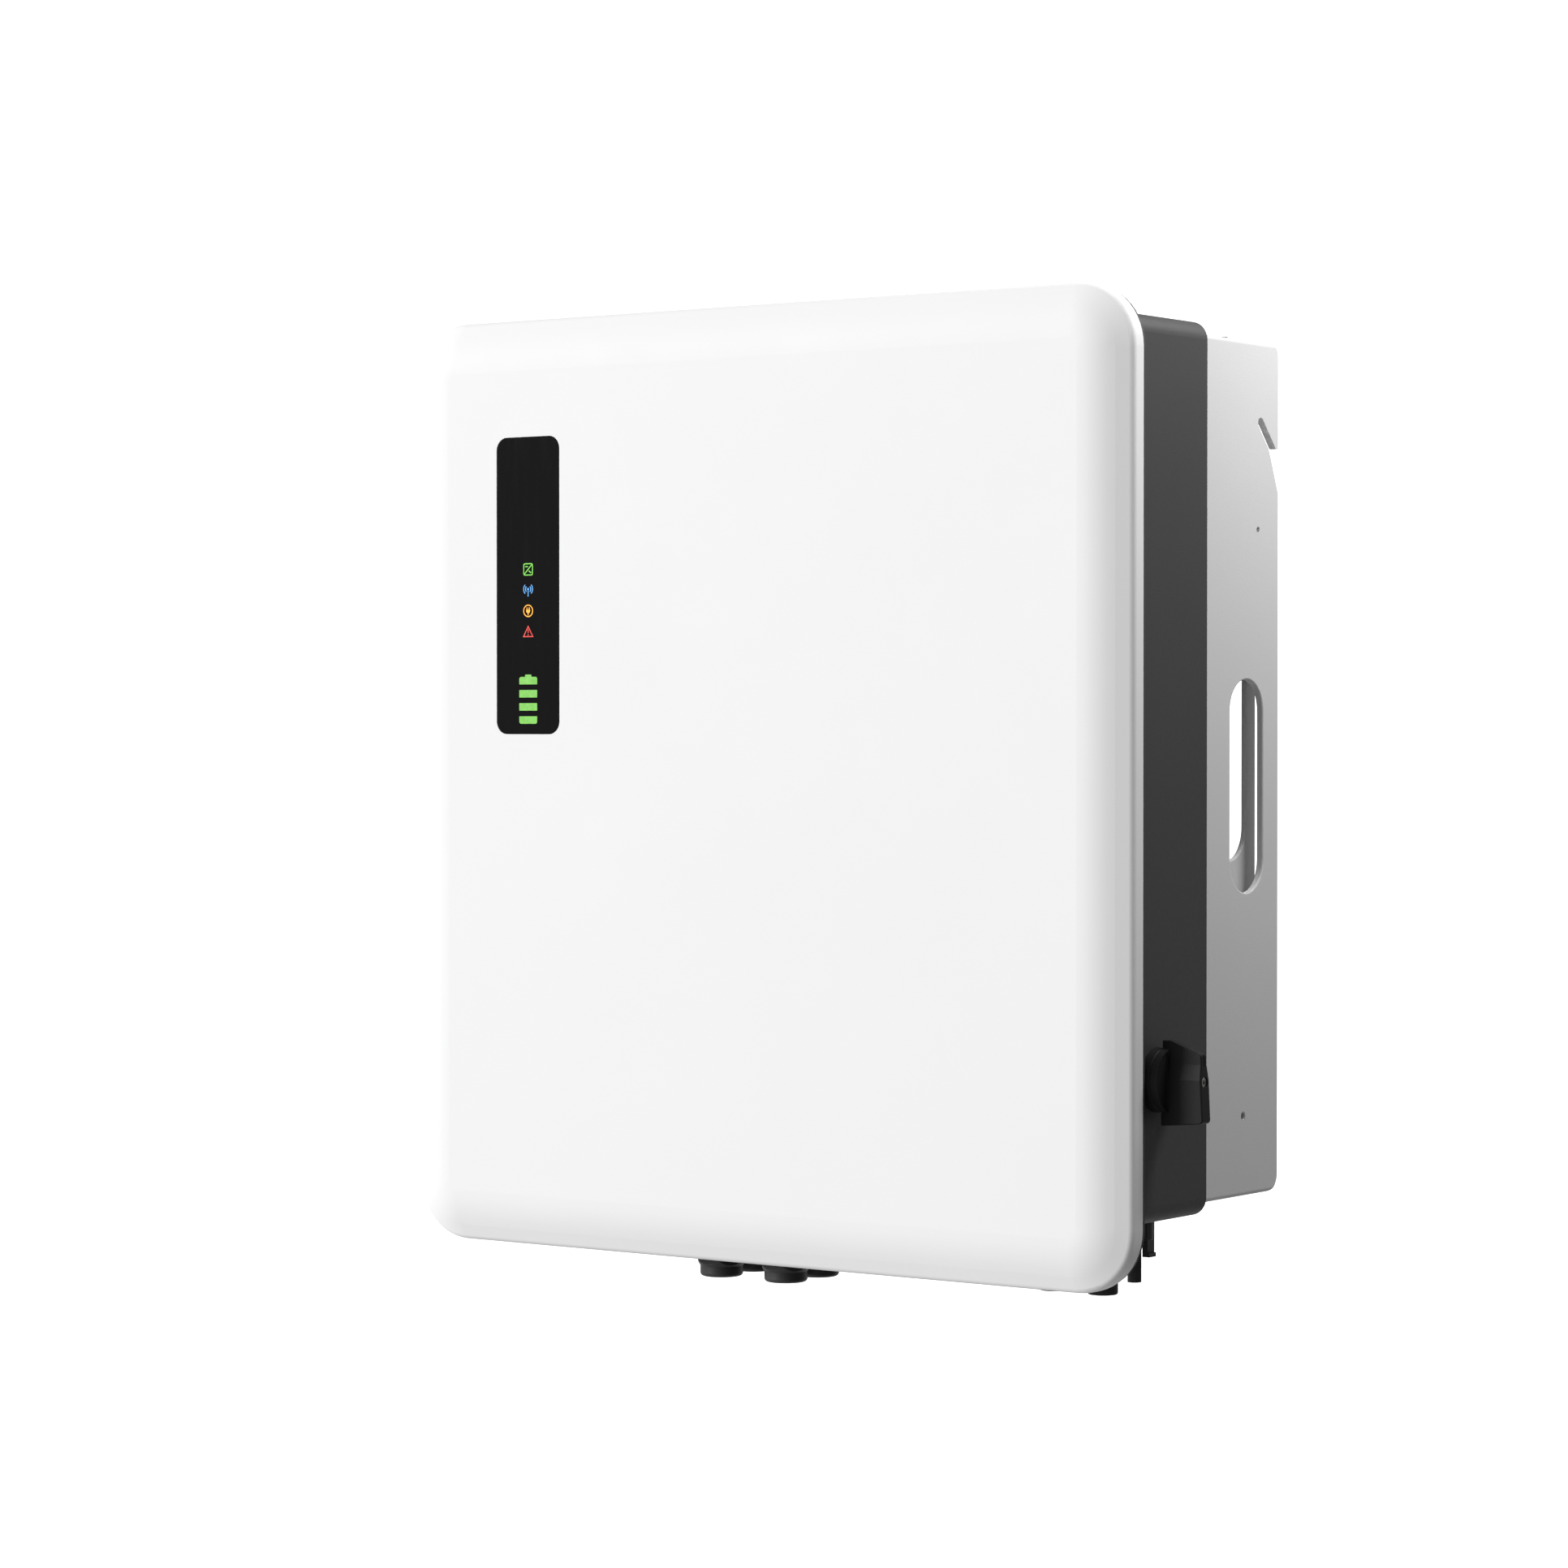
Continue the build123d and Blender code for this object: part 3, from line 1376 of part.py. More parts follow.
with BuildPart() as battery_connectors:
    with BuildSketch(facing_up(housing_bottom)):
        with Locations(*battery_points):
            RectangleRounded(battery_flange, battery_flange, 3.0)
    extrude(amount=-connector_flange)
    with BuildSketch(facing_up(housing_bottom + housing_wall + shank_inside)):
        with Locations(*battery_points):
            Circle(battery_shank)
    extrude(amount=-housing_wall - shank_inside)
    with BuildSketch(facing_up(housing_bottom)):
        with Locations(*battery_points):
            Circle(battery_radius)
    extrude(amount=-battery_length)
    fillet(battery_connectors.edges().group_by(Axis.Z)[0], 1.5)
    with BuildSketch(facing_up(housing_bottom - battery_length + battery_ring_rise)):
        with Locations(*battery_points):
            Circle(battery_radius + battery_ring_wall)
    extrude(amount=6.0)
pieces["battery_connectors"] = battery_connectors

for name, x in (("grid_connector", grid_x), ("backup_connector", backup_x)):
    with BuildPart() as mains_connector:
        with BuildSketch(facing_up(housing_bottom)):
            with Locations((x, mains_depth)):
                RectangleRounded(mains_flange, mains_flange, 5.0)
        extrude(amount=-3.5)
        with BuildSketch(facing_up(housing_bottom + housing_wall + shank_inside)):
            with Locations((x, mains_depth)):
                Circle(mains_shank)
        extrude(amount=-housing_wall - shank_inside)
        with BuildSketch(facing_up(housing_bottom)):
            with Locations((x, mains_depth)):
                Circle(mains_radius)
        extrude(amount=-mains_length)
        fillet(mains_connector.edges().group_by(Axis.Z)[0], 2.5)
        with BuildSketch(facing_up(housing_bottom - mains_ring_drop)):
            with Locations((x, mains_depth)):
                Circle(mains_radius + mains_ring_wall)
        extrude(amount=-mains_ring_length)
        # finger grips round the locking ring
        with BuildSketch(facing_up(housing_bottom - mains_ring_drop)):
            with Locations((x, mains_depth)):
                with PolarLocations(mains_radius + 2.6, 16):
                    Circle(1.4)
        extrude(amount=-mains_ring_length, mode=Mode.SUBTRACT)
    pieces[name] = mains_connector

with BuildPart() as comm_port:
    with BuildSketch(facing_up(housing_bottom)):
        with Locations(comm_point):
            Circle(comm_shank + comm_flange_wall)
    extrude(amount=-connector_flange)
    with BuildSketch(facing_up(housing_bottom + housing_wall + shank_inside)):
        with Locations(comm_point):
            Circle(comm_shank)
    extrude(amount=-housing_wall - shank_inside - comm_length)
    fillet(comm_port.edges().group_by(Axis.Z)[0], 1.0)
    with BuildSketch(facing_up(housing_bottom - comm_length)):
        with Locations(comm_point):
            with PolarLocations(comm_shank + 0.6, 12):
                Circle(1.1)
    extrude(amount=12.0, mode=Mode.SUBTRACT)
pieces["comm_port"] = comm_port

with BuildPart() as vent_plug:
    with BuildSketch(facing_up(housing_bottom)):
        with Locations(vent_point):
            RegularPolygon(8.5, 6, major_radius=False)
    extrude(amount=-vent_head_height)
    chamfer(vent_plug.edges().group_by(Axis.Z)[0], 0.8)
    with BuildSketch(facing_up(housing_bottom)):
        with Locations(vent_point):
            Circle(vent_shank)
    extrude(amount=housing_wall + shank_inside)
    with BuildSketch(facing_up(housing_bottom - vent_head_height)):
        with Locations(vent_point):
            with PolarLocations(4.0, 6):
                Circle(0.9)
    extrude(amount=3.0, mode=Mode.SUBTRACT)
pieces["vent_plug"] = vent_plug

nut_base = housing_bottom + housing_wall
with BuildPart() as connector_nuts:
    with BuildSketch(facing_up(nut_base)):
        for points, shank in (
            (pv_points + pv_back_points, pv_shank),
            (battery_points, battery_shank),
            (mains_points, mains_shank),
            ([comm_point], comm_shank),
            ([vent_point], vent_shank),
        ):
            with Locations(*points):
                Circle(shank + nut_wall)
                Circle(shank, mode=Mode.SUBTRACT)
    extrude(amount=nut_height)
pieces["connector_nuts"] = connector_nuts

pieces["earth_screw"] = screw_set(
    Plane(facing_up(housing_bottom).origin, x_dir=(1, 0, 0), z_dir=(0, 0, -1)),
    [(earth_x, -earth_depth)],
    earth_shank,
    10.0,
)

# ---------------------------------------------------------------- circuit boards
board_screw_bite = 6.0
filter_board_front = power_board_front
chip_pitch = (control_board_width - 2 * chip_row_margin) / 5
control_points = corner_points(
    control_board_width - 2 * control_screw_inset,
    control_board_height - 2 * control_screw_inset,
    control_board_x,
    control_board_rise,
)

with BuildPart() as board_standoffs:
    with BuildSketch(facing_front(inner_back)):
        with Locations(*power_points, *filter_points):
            Circle(standoff_radius)
    extrude(amount=standoff_height)
    with BuildSketch(facing_front(inner_back)):
        with Locations(*power_points, *filter_points):
            Circle(medium_shank)
    extrude(amount=-2.0)
    with BuildSketch(facing_front(module_front)):
        with Locations(*power_points, *filter_points):
            Circle(medium_shank)
    extrude(amount=-board_screw_bite, mode=Mode.SUBTRACT)
    with BuildSketch(facing_front(power_board_front)):
        with Locations(*control_points):
            Circle(standoff_radius)
    extrude(amount=power_board_front - control_board_depth - board_thickness)
    with BuildSketch(facing_front(control_board_depth + board_thickness)):
        with Locations(*control_points):
            Circle(medium_shank)
    extrude(amount=-board_screw_bite, mode=Mode.SUBTRACT)
pieces["board_standoffs"] = board_standoffs

with BuildPart() as board_screws:
    add(
        screw_set(
            facing_front(power_board_front),
            power_points + filter_points,
            medium_shank,
            board_thickness + board_screw_bite - screw_tip_gap,
        ).part
    )
    add(
        screw_set(
            facing_front(control_board_depth),
            control_points,
            medium_shank,
            board_thickness + board_screw_bite - screw_tip_gap,
        ).part
    )
pieces["board_screws"] = board_screws

with BuildPart() as power_board:
    with BuildSketch(facing_front(power_board_front)):
        with Locations((0, power_board_rise)):
            Rectangle(power_board_width, power_board_height)
        with Locations(*power_points):
            Circle(medium_shank, mode=Mode.SUBTRACT)
    extrude(amount=-board_thickness)
pieces["power_board"] = power_board

with BuildPart() as filter_board:
    with BuildSketch(facing_front(filter_board_front)):
        with Locations((filter_board_x, filter_board_rise)):
            Rectangle(filter_board_width, filter_board_height)
        with Locations(*filter_points):
            Circle(medium_shank, mode=Mode.SUBTRACT)
    extrude(amount=-board_thickness)
pieces["filter_board"] = filter_board

with BuildPart() as control_board:
    with BuildSketch(facing_front(control_board_depth)):
        with Locations((control_board_x, control_board_rise)):
            Rectangle(control_board_width, control_board_height)
        with Locations(*control_points):
            Circle(medium_shank, mode=Mode.SUBTRACT)
    extrude(amount=-board_thickness)
    with BuildSketch(facing_front(control_board_depth)):
        with Locations((control_board_x, control_board_rise + 10.0)):
            Rectangle(24.0, 24.0)
        with Locations((control_board_x, control_board_rise - 38.0)):
            with GridLocations(chip_pitch, 0, 5, 1):
                Rectangle(chip_pitch - chip_gap, 9.0)
    extrude(amount=2.5)
pieces["control_board"] = control_board

# Power modules lie against the heatsink behind the board.
module_pitch_x = (window_width - 2 * module_window_gap) / 4
module_pitch_y = window_height / 2 - module_row_gap
with BuildPart() as power_modules:
    with BuildSketch(facing_front(module_front)):
        with Locations((0, power_board_rise)):
            with GridLocations(module_pitch_x, module_pitch_y, 4, 2):
                Rectangle(module_pitch_x - module_gap, module_pitch_y / 2)
    extrude(amount=-module_thickness)
    chamfer(power_modules.faces().group_by(Axis.Y)[-1].edges(), 0.8)
pieces["power_modules"] = power_modules

# Parts on the front of the boards. Their rows and columns fill the room there is.
board_left = -power_board_width / 2
board_bottom = power_board_rise - power_board_height / 2
board_top = power_board_rise + power_board_height / 2
room = power_board_front - housing_front
capacitor_columns = int(
    (power_board_width / 2 - capacitor_margin - capacitor_middle_gap) / capacitor_pitch
)
capacitor_x = board_left + capacitor_margin + capacitor_columns * capacitor_pitch / 2
inductor_rows = int((power_board_height - inductor_top_gap) / inductor_pitch_y)
inductor_x = board_left + inductor_margin + 1.5 * inductor_pitch_x
inductor_height = board_bottom + inductor_bottom_gap + inductor_rows * inductor_pitch_y / 2
relay_columns = int((filter_board_width - relay_room) / relay_pitch)
relay_x = filter_board_x - filter_board_width / 2 + relay_margin + relay_columns * relay_pitch / 2
choke_x = filter_board_x + filter_board_width / 2 - choke_margin

with BuildPart() as bus_capacitors:
    with BuildSketch(facing_front(power_board_front)):
        with Locations((capacitor_x, board_top - capacitor_drop)):
            with GridLocations(capacitor_pitch, capacitor_pitch, capacitor_columns, 2):
                Circle(capacitor_radius)
    extrude(amount=room - capacitor_gap)
    fillet(bus_capacitors.edges().group_by(Axis.Y)[0], 1.5)
pieces["bus_capacitors"] = bus_capacitors

with BuildPart() as inductors:
    with BuildSketch(facing_front(power_board_front)):
        with Locations((inductor_x, inductor_height)):
            with GridLocations(inductor_pitch_x, inductor_pitch_y, 3, inductor_rows):
                RectangleRounded(
                    inductor_pitch_x - inductor_gap_x, inductor_pitch_y - inductor_gap_y, 5.0
                )
    extrude(amount=room - inductor_gap)
    fillet(inductors.faces().group_by(Axis.Y)[0].edges(), 2.0)
pieces["inductors"] = inductors

with BuildPart() as relays:
    with BuildSketch(facing_front(filter_board_front)):
        with Locations((relay_x, filter_board_rise)):
            with GridLocations(relay_pitch, relay_pitch + relay_row_gap, relay_columns, 2):
                Rectangle(relay_pitch - relay_gap, relay_pitch + relay_row_gap - relay_gap)
    extrude(amount=relay_height)
    chamfer(relays.faces().group_by(Axis.Y)[0].edges(), 0.8)
pieces["relays"] = relays

with BuildPart() as filter_chokes:
    with BuildSketch(facing_front(filter_board_front)):
        with Locations((choke_x, filter_board_rise)):
            with GridLocations(choke_pitch, 0, 2, 1):
                Circle(choke_radius)
                Circle(choke_bore, mode=Mode.SUBTRACT)
    extrude(amount=choke_height)
    fillet(filter_chokes.edges().filter_by(GeomType.CIRCLE), 5.0)
pieces["filter_chokes"] = filter_chokes

# ---------------------------------------------------------------- write the pieces
os.makedirs("parts", exist_ok=True)
for name, piece in pieces.items():
    piece.part.label = name
    export_step(piece.part, f"parts/{name}.step")
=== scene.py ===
import json
from math import cos, pi, radians, sin

import bmesh
import bpy
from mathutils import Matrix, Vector
from mathutils.geometry import tessellate_polygon


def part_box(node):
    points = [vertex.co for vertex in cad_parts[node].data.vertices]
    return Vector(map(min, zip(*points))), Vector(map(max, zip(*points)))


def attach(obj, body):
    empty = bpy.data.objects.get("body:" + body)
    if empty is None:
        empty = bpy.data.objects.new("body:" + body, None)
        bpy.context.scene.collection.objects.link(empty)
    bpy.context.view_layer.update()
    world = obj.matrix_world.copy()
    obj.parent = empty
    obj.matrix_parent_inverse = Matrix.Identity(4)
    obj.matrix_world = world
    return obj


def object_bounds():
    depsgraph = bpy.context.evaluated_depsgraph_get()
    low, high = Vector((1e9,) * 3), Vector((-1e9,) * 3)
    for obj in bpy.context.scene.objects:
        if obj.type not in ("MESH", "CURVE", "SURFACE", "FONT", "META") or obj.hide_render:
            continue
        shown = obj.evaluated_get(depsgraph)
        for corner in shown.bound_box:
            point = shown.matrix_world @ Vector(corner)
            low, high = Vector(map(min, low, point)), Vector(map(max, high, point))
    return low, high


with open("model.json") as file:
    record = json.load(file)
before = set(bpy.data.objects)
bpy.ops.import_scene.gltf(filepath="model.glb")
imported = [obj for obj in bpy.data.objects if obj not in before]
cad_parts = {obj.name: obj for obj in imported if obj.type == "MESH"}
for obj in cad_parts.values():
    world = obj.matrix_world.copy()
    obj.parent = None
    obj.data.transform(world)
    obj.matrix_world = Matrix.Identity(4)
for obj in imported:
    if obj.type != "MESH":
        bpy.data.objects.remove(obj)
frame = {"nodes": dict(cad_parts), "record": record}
cad_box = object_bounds()
nodes = frame["nodes"]
scene = bpy.context.scene
scene.view_settings.view_transform = "Standard"

# ---------------------------------------------------------------- camera
camera_data = bpy.data.cameras.new("camera")
camera_data.lens = 99.8914
camera_data.sensor_width = 36.0
camera_data.sensor_fit = "HORIZONTAL"
camera_data.clip_start = 0.05
camera_data.clip_end = 50.0
camera = bpy.data.objects.new("camera", camera_data)
camera.location = (1.38559253, -2.05932944, -0.15946026)
camera.rotation_euler = (radians(90.0 - 0.8246), 0.0, radians(35.6814))
scene.collection.objects.link(camera)
scene.camera = camera


# ---------------------------------------------------------------- shader helpers
class Shader:
    """A principled material whose nodes are added by short calls."""

    def __init__(self, name):
        self.material = bpy.data.materials.new(name)
        self.material.use_nodes = True
        self.tree = self.material.node_tree
        self.surface = self.tree.nodes["Principled BSDF"]
        self.place = self.node("ShaderNodeTexCoord").outputs["Object"]

    def node(self, kind, **settings):
        made = self.tree.nodes.new(kind)
        for key, value in settings.items():
            setattr(made, key, value)
        return made

    def link(self, source, target):
        self.tree.links.new(source, target)

    def set(self, **values):
        for key, value in values.items():
            self.surface.inputs[key.replace("_", " ")].default_value = value

    def stretched(self, scale):
        mapping = self.node("ShaderNodeMapping")
        mapping.inputs["Scale"].default_value = scale
        self.link(self.place, mapping.inputs["Vector"])
        return mapping.outputs["Vector"]

    def noise(self, scale, detail=3.0, roughness=0.5, place=None):
        made = self.node("ShaderNodeTexNoise")
        made.inputs["Scale"].default_value = scale
        made.inputs["Detail"].default_value = detail
        made.inputs["Roughness"].default_value = roughness
        self.link(place or self.place, made.inputs["Vector"])
        return made.outputs["Fac"]

    def cells(self, scale, place=None):
        made = self.node("ShaderNodeTexVoronoi")
        made.inputs["Scale"].default_value = scale
        self.link(place or self.place, made.inputs["Vector"])
        return made.outputs["Distance"]

    def remap(self, value, low, high, start=0.3, end=0.7):
        made = self.node("ShaderNodeMapRange")
        made.inputs["From Min"].default_value = start
        made.inputs["From Max"].default_value = end
        made.inputs["To Min"].default_value = low
        made.inputs["To Max"].default_value = high
        self.link(value, made.inputs["Value"])
        return made.outputs["Result"]

    def math(self, operation, first, second):
        made = self.node("ShaderNodeMath", operation=operation)
        for socket, value in zip(made.inputs, (first, second)):
            if isinstance(value, (int, float)):
                socket.default_value = value
            else:
                self.link(value, socket)
        return made.outputs[0]

    def mix(self, factor, first, second):
        made = self.node("ShaderNodeMix", data_type="RGBA")
        self.link(factor, made.inputs["Factor"])
        for socket, value in zip((made.inputs[6], made.inputs[7]), (first, second)):
            if isinstance(value, tuple):
                socket.default_value = (*value, 1.0)
            else:
                self.link(value, socket)
        return made.outputs[2]

    def bump(self, height, distance, strength=1.0, under=None):
        made = self.node("ShaderNodeBump")
        made.inputs["Distance"].default_value = distance
        made.inputs["Strength"].default_value = strength
        self.link(height, made.inputs["Height"])
        if under is not None:
            self.link(under, made.inputs["Normal"])
        return made.outputs["Normal"]

    def edges(self, reach, start=0.02, end=0.25):
        """1 on worn outer edges, 0 elsewhere."""
        bevel = self.node("ShaderNodeBevel", samples=4)
        bevel.inputs["Radius"].default_value = reach
        geometry = self.node("ShaderNodeNewGeometry")
        dot = self.node("ShaderNodeVectorMath", operation="DOT_PRODUCT")
        self.link(bevel.outputs["Normal"], dot.inputs[0])
        self.link(geometry.outputs["Normal"], dot.inputs[1])
        turned = self.math("SUBTRACT", 1.0, dot.outputs["Value"])
        pointed = self.remap(geometry.outputs["Pointiness"], 0.0, 1.0, 0.5, 0.53)
        return self.math("MULTIPLY", self.remap(turned, 0.0, 1.0, start, end), pointed)

    def dents(self, value):
        self.link(value, self.surface.inputs["Normal"])

    def rough(self, value):
        self.link(value, self.surface.inputs["Roughness"])

    def colour(self, value):
        self.link(value, self.surface.inputs["Base Color"])


def moulded(name, light, dark, rough, grain=2600.0, grain_depth=0.00002, level=0.5, wear=None):
    """Moulded plastic: spark-eroded grain, slow shade drift and paler rubbed edges."""
    shader = Shader(name)
    drift = shader.noise(9.0, 4.0, 0.6)
    tone = shader.mix(shader.remap(drift, 0.0, 1.0), dark, light)
    if wear is not None:
        rubbed = shader.math("MULTIPLY", shader.edges(0.0006), shader.remap(shader.noise(140.0), 0.0, 0.8))
        tone = shader.mix(rubbed, tone, wear)
    shader.colour(tone)
    smudge = shader.noise(28.0, 5.0, 0.65)
    shader.rough(shader.remap(smudge, rough[0], rough[1]))
    grains = shader.noise(grain, 2.0, 0.6)
    wave = shader.noise(60.0, 2.0, 0.4)
    soft = shader.bump(wave, 0.00004, 0.5)
    shader.dents(shader.bump(grains, grain_depth, 0.6, soft))
    shader.set(Specular_IOR_Level=level)
    return shader.material


def powder_coat(name, light, dark, rough, lumps=1100.0, depth=0.00006, wear=None, level=0.5):
    """Powder coat: rounded orange-peel lumps, fine specks and rubbed edges."""
    shader = Shader(name)
    speck = shader.noise(3200.0, 2.0, 0.7)
    drift = shader.noise(7.0, 4.0, 0.6)
    tone = shader.mix(shader.remap(drift, 0.0, 1.0), dark, light)
    faint = tuple(c * 0.82 for c in light)
    tone = shader.mix(shader.remap(speck, 0.0, 0.35, 0.45, 0.8), tone, faint)
    if wear is not None:
        rubbed = shader.math("MULTIPLY", shader.edges(0.0007), shader.remap(shader.noise(90.0), 0.0, 0.7))
        tone = shader.mix(rubbed, tone, wear)
    shader.colour(tone)
    shader.rough(shader.remap(shader.noise(260.0, 4.0, 0.6), rough[0], rough[1]))
    peel = shader.cells(lumps)
    fine = shader.noise(2400.0, 3.0, 0.6)
    shader.dents(shader.bump(fine, depth * 0.5, 0.6, shader.bump(peel, depth, 0.7)))
    shader.set(Specular_IOR_Level=level)
    return shader.material


def bare_metal(name, colour, rough, along, tarnish):
    """Bare metal with drawn lines along one axis, handling marks and a dull film."""
    shader = Shader(name)
    scale = tuple(60.0 if axis == along else 3000.0 for axis in range(3))
    lines = shader.noise(1.0, 2.0, 0.6, shader.stretched(scale))
    film = shader.noise(22.0, 5.0, 0.65)
    shader.colour(shader.mix(shader.remap(film, 0.0, 1.0), colour, tarnish))
    hazy = shader.remap(film, rough[0], rough[1])
    shader.rough(shader.math("ADD", hazy, shader.remap(lines, -0.05, 0.08)))
    pits = shader.noise(500.0, 3.0, 0.6)
    shader.dents(shader.bump(lines, 0.00001, 0.5, shader.bump(pits, 0.00002, 0.3)))
    shader.set(Metallic=1.0)
    return shader.material


def rubber(name, colour):
    """Moulded rubber: dull, with a dusty bloom and a faint grain."""
    shader = Shader(name)
    bloom = shader.noise(45.0, 5.0, 0.7)
    pale = tuple(c + 0.018 for c in colour)
    shader.colour(shader.mix(shader.remap(bloom, 0.0, 1.0), colour, pale))
    shader.rough(shader.remap(shader.noise(150.0), 0.55, 0.78))
    shader.dents(shader.bump(shader.noise(1800.0, 3.0, 0.7), 0.00003, 0.5))
    shader.set(Specular_IOR_Level=0.35)
    return shader.material


def circuit_board(name):
    """Solder mask over copper tracks, with tinned pads on a grid."""
    shader = Shader(name)
    tracks = shader.node("ShaderNodeTexBrick", offset=0.35, squash=1.4)
    tracks.inputs["Scale"].default_value = 120.0
    tracks.inputs["Mortar Size"].default_value = 0.02
    turned = shader.node("ShaderNodeMapping")
    turned.inputs["Rotation"].default_value = (radians(90.0), 0.0, 0.0)
    shader.link(shader.place, turned.inputs["Vector"])
    shader.link(turned.outputs["Vector"], tracks.inputs["Vector"])
    pads = shader.cells(210.0)
    ring = shader.remap(pads, 1.0, 0.0, 0.13, 0.16)
    mask = shader.mix(tracks.outputs["Fac"], (0.012, 0.085, 0.03), (0.02, 0.15, 0.05))
    shader.colour(shader.mix(ring, mask, (0.62, 0.6, 0.52)))
    shader.rough(shader.remap(shader.noise(60.0), 0.25, 0.42))
    raised = shader.bump(tracks.outputs["Fac"], 0.00004, 0.7)
    shader.dents(shader.bump(ring, 0.00008, 0.7, raised))
    return shader.material


def wound_copper(name):
    """Enamelled wire laid side by side round the core."""
    shader = Shader(name)
    wave = shader.node("ShaderNodeTexWave", wave_type="RINGS", rings_direction="Y")
    wave.inputs["Scale"].default_value = 240.0
    wave.inputs["Distortion"].default_value = 1.5
    shader.link(shader.place, wave.inputs["Vector"])
    turn = wave.outputs["Fac"]
    shader.colour(shader.mix(turn, (0.16, 0.04, 0.012), (0.62, 0.24, 0.08)))
    shader.rough(shader.remap(shader.noise(80.0), 0.2, 0.38))
    shader.dents(shader.bump(turn, 0.0003, 0.8))
    shader.set(Metallic=0.75)
    return shader.material


def smoked_window(name):
    """Glossy smoked acrylic with fine wipe marks and a little dust."""
    shader = Shader(name)
    dust = shader.noise(900.0, 2.0, 0.8)
    specks = shader.remap(dust, 0.0, 1.0, 0.72, 0.78)
    shader.colour(shader.mix(specks, (0.0044, 0.0042, 0.0042), (0.03, 0.03, 0.03)))
    wipes = shader.noise(1.0, 4.0, 0.7, shader.stretched((260.0, 260.0, 22.0)))
    shader.rough(shader.remap(wipes, 0.05, 0.13))
    shader.dents(shader.bump(shader.noise(35.0, 2.0, 0.4), 0.00002, 0.4))
    shader.set(Specular_IOR_Level=0.12)
    return shader.material


def lamp(name, colour, strength):
    """A lit symbol: a diffused glow that is a little brighter in patches."""
    shader = Shader(name)
    patch = shader.noise(420.0, 2.0, 0.5)
    dim = tuple(c * 0.82 for c in colour)
    glow = shader.mix(shader.remap(patch, 0.0, 1.0), dim, colour)
    shader.colour(glow)
    shader.link(glow, shader.surface.inputs["Emission Color"])
    shader.rough(shader.remap(shader.noise(300.0), 0.25, 0.4))
    shader.dents(shader.bump(shader.noise(1500.0), 0.00001, 0.4))
    shader.set(Emission_Strength=strength)
    return shader.material


# ---------------------------------------------------------------- materials
def linear(*values):
    """sRGB 0 to 255 into linear light."""
    out = []
    for value in values:
        v = value / 255.0
        out.append(v / 12.92 if v <= 0.04045 else ((v + 0.055) / 1.055) ** 2.4)
    return tuple(out)


cover_white = moulded(
    "cover_white", (0.83, 0.83, 0.83), (0.82, 0.82, 0.822), (0.5, 0.58), 2200.0, 0.000012, 0.15
)
plate_grey = powder_coat(
    "plate_grey", (0.64, 0.64, 0.64), (0.62, 0.62, 0.625), (0.5, 0.58), 1300.0, 0.00005, None, 0.3
)
housing_dark = powder_coat(
    "housing_dark", (0.053, 0.053, 0.054), (0.048, 0.048, 0.049), (0.52, 0.6), 1500.0, 0.00004,
    (0.075, 0.075, 0.075), 0.3,
)
switch_black = moulded(
    "switch_black", (0.017, 0.017, 0.0173), (0.014, 0.014, 0.0143), (0.42, 0.55), 1900.0, 0.00003, 0.12,
    (0.04, 0.04, 0.04),
)
connector_black = moulded(
    "connector_black", (0.022, 0.022, 0.023), (0.017, 0.017, 0.018), (0.36, 0.5), 1500.0, 0.00004, 0.5,
    (0.055, 0.055, 0.055),
)
component_black = moulded("component_black", (0.03, 0.03, 0.031), (0.024, 0.024, 0.025), (0.4, 0.55))
nylon_white = moulded("nylon_white", (0.7, 0.7, 0.66), (0.62, 0.62, 0.57), (0.35, 0.5))
relay_blue = moulded("relay_blue", (0.02, 0.1, 0.34), (0.016, 0.08, 0.28), (0.3, 0.42))
potting_grey = moulded(
    "potting_grey", (0.2, 0.2, 0.21), (0.15, 0.15, 0.16), (0.45, 0.6), 900.0, 0.00006
)
capacitor_can = moulded("capacitor_can", (0.02, 0.03, 0.07), (0.015, 0.02, 0.05), (0.22, 0.34))
rubber_black = rubber("rubber_black", (0.018, 0.018, 0.018))
steel = bare_metal("steel", (0.6, 0.6, 0.59), (0.26, 0.4), 1, (0.48, 0.47, 0.45))
heatsink_aluminium = bare_metal(
    "heatsink_aluminium", (0.66, 0.67, 0.68), (0.34, 0.48), 2, (0.52, 0.53, 0.54)
)
brass_contact = bare_metal("brass_contact", (0.62, 0.46, 0.2), (0.22, 0.36), 1, (0.45, 0.32, 0.14))
board_green = circuit_board("board_green")
copper_winding = wound_copper("copper_winding")
display_smoke = smoked_window("display_smoke")
lamp_green = lamp("lamp_green", linear(103, 174, 62), 0.5)

by_slot = {
    "cover_white": cover_white,
    "display_smoke": display_smoke,
    "lamp_green": lamp_green,
    "housing_dark": housing_dark,
    "plate_grey": plate_grey,
    "switch_black": switch_black,
    "connector_black": connector_black,
    "rubber_black": rubber_black,
    "steel": steel,
    "heatsink_aluminium": heatsink_aluminium,
    "board_green": board_green,
    "component_black": component_black,
    "capacitor_can": capacitor_can,
    "potting_grey": potting_grey,
    "relay_blue": relay_blue,
    "copper_winding": copper_winding,
    "brass_contact": brass_contact,
    "nylon_white": nylon_white,
}
for part in frame["record"]["subparts"]:
    node = nodes[part["node"]]
    node.data.materials.clear()
    node.data.materials.append(by_slot[part["material_slot"]])

# ---------------------------------------------------------------- display symbols
window_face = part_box("display_window")[0].y
guide_low, guide_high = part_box("light_guides")
symbol_x = (guide_low.x + guide_high.x) / 2
symbol_front = window_face - 0.00006
symbol_back = window_face - 0.00001
gauge_width = guide_high.x - guide_low.x
icon_count = 4


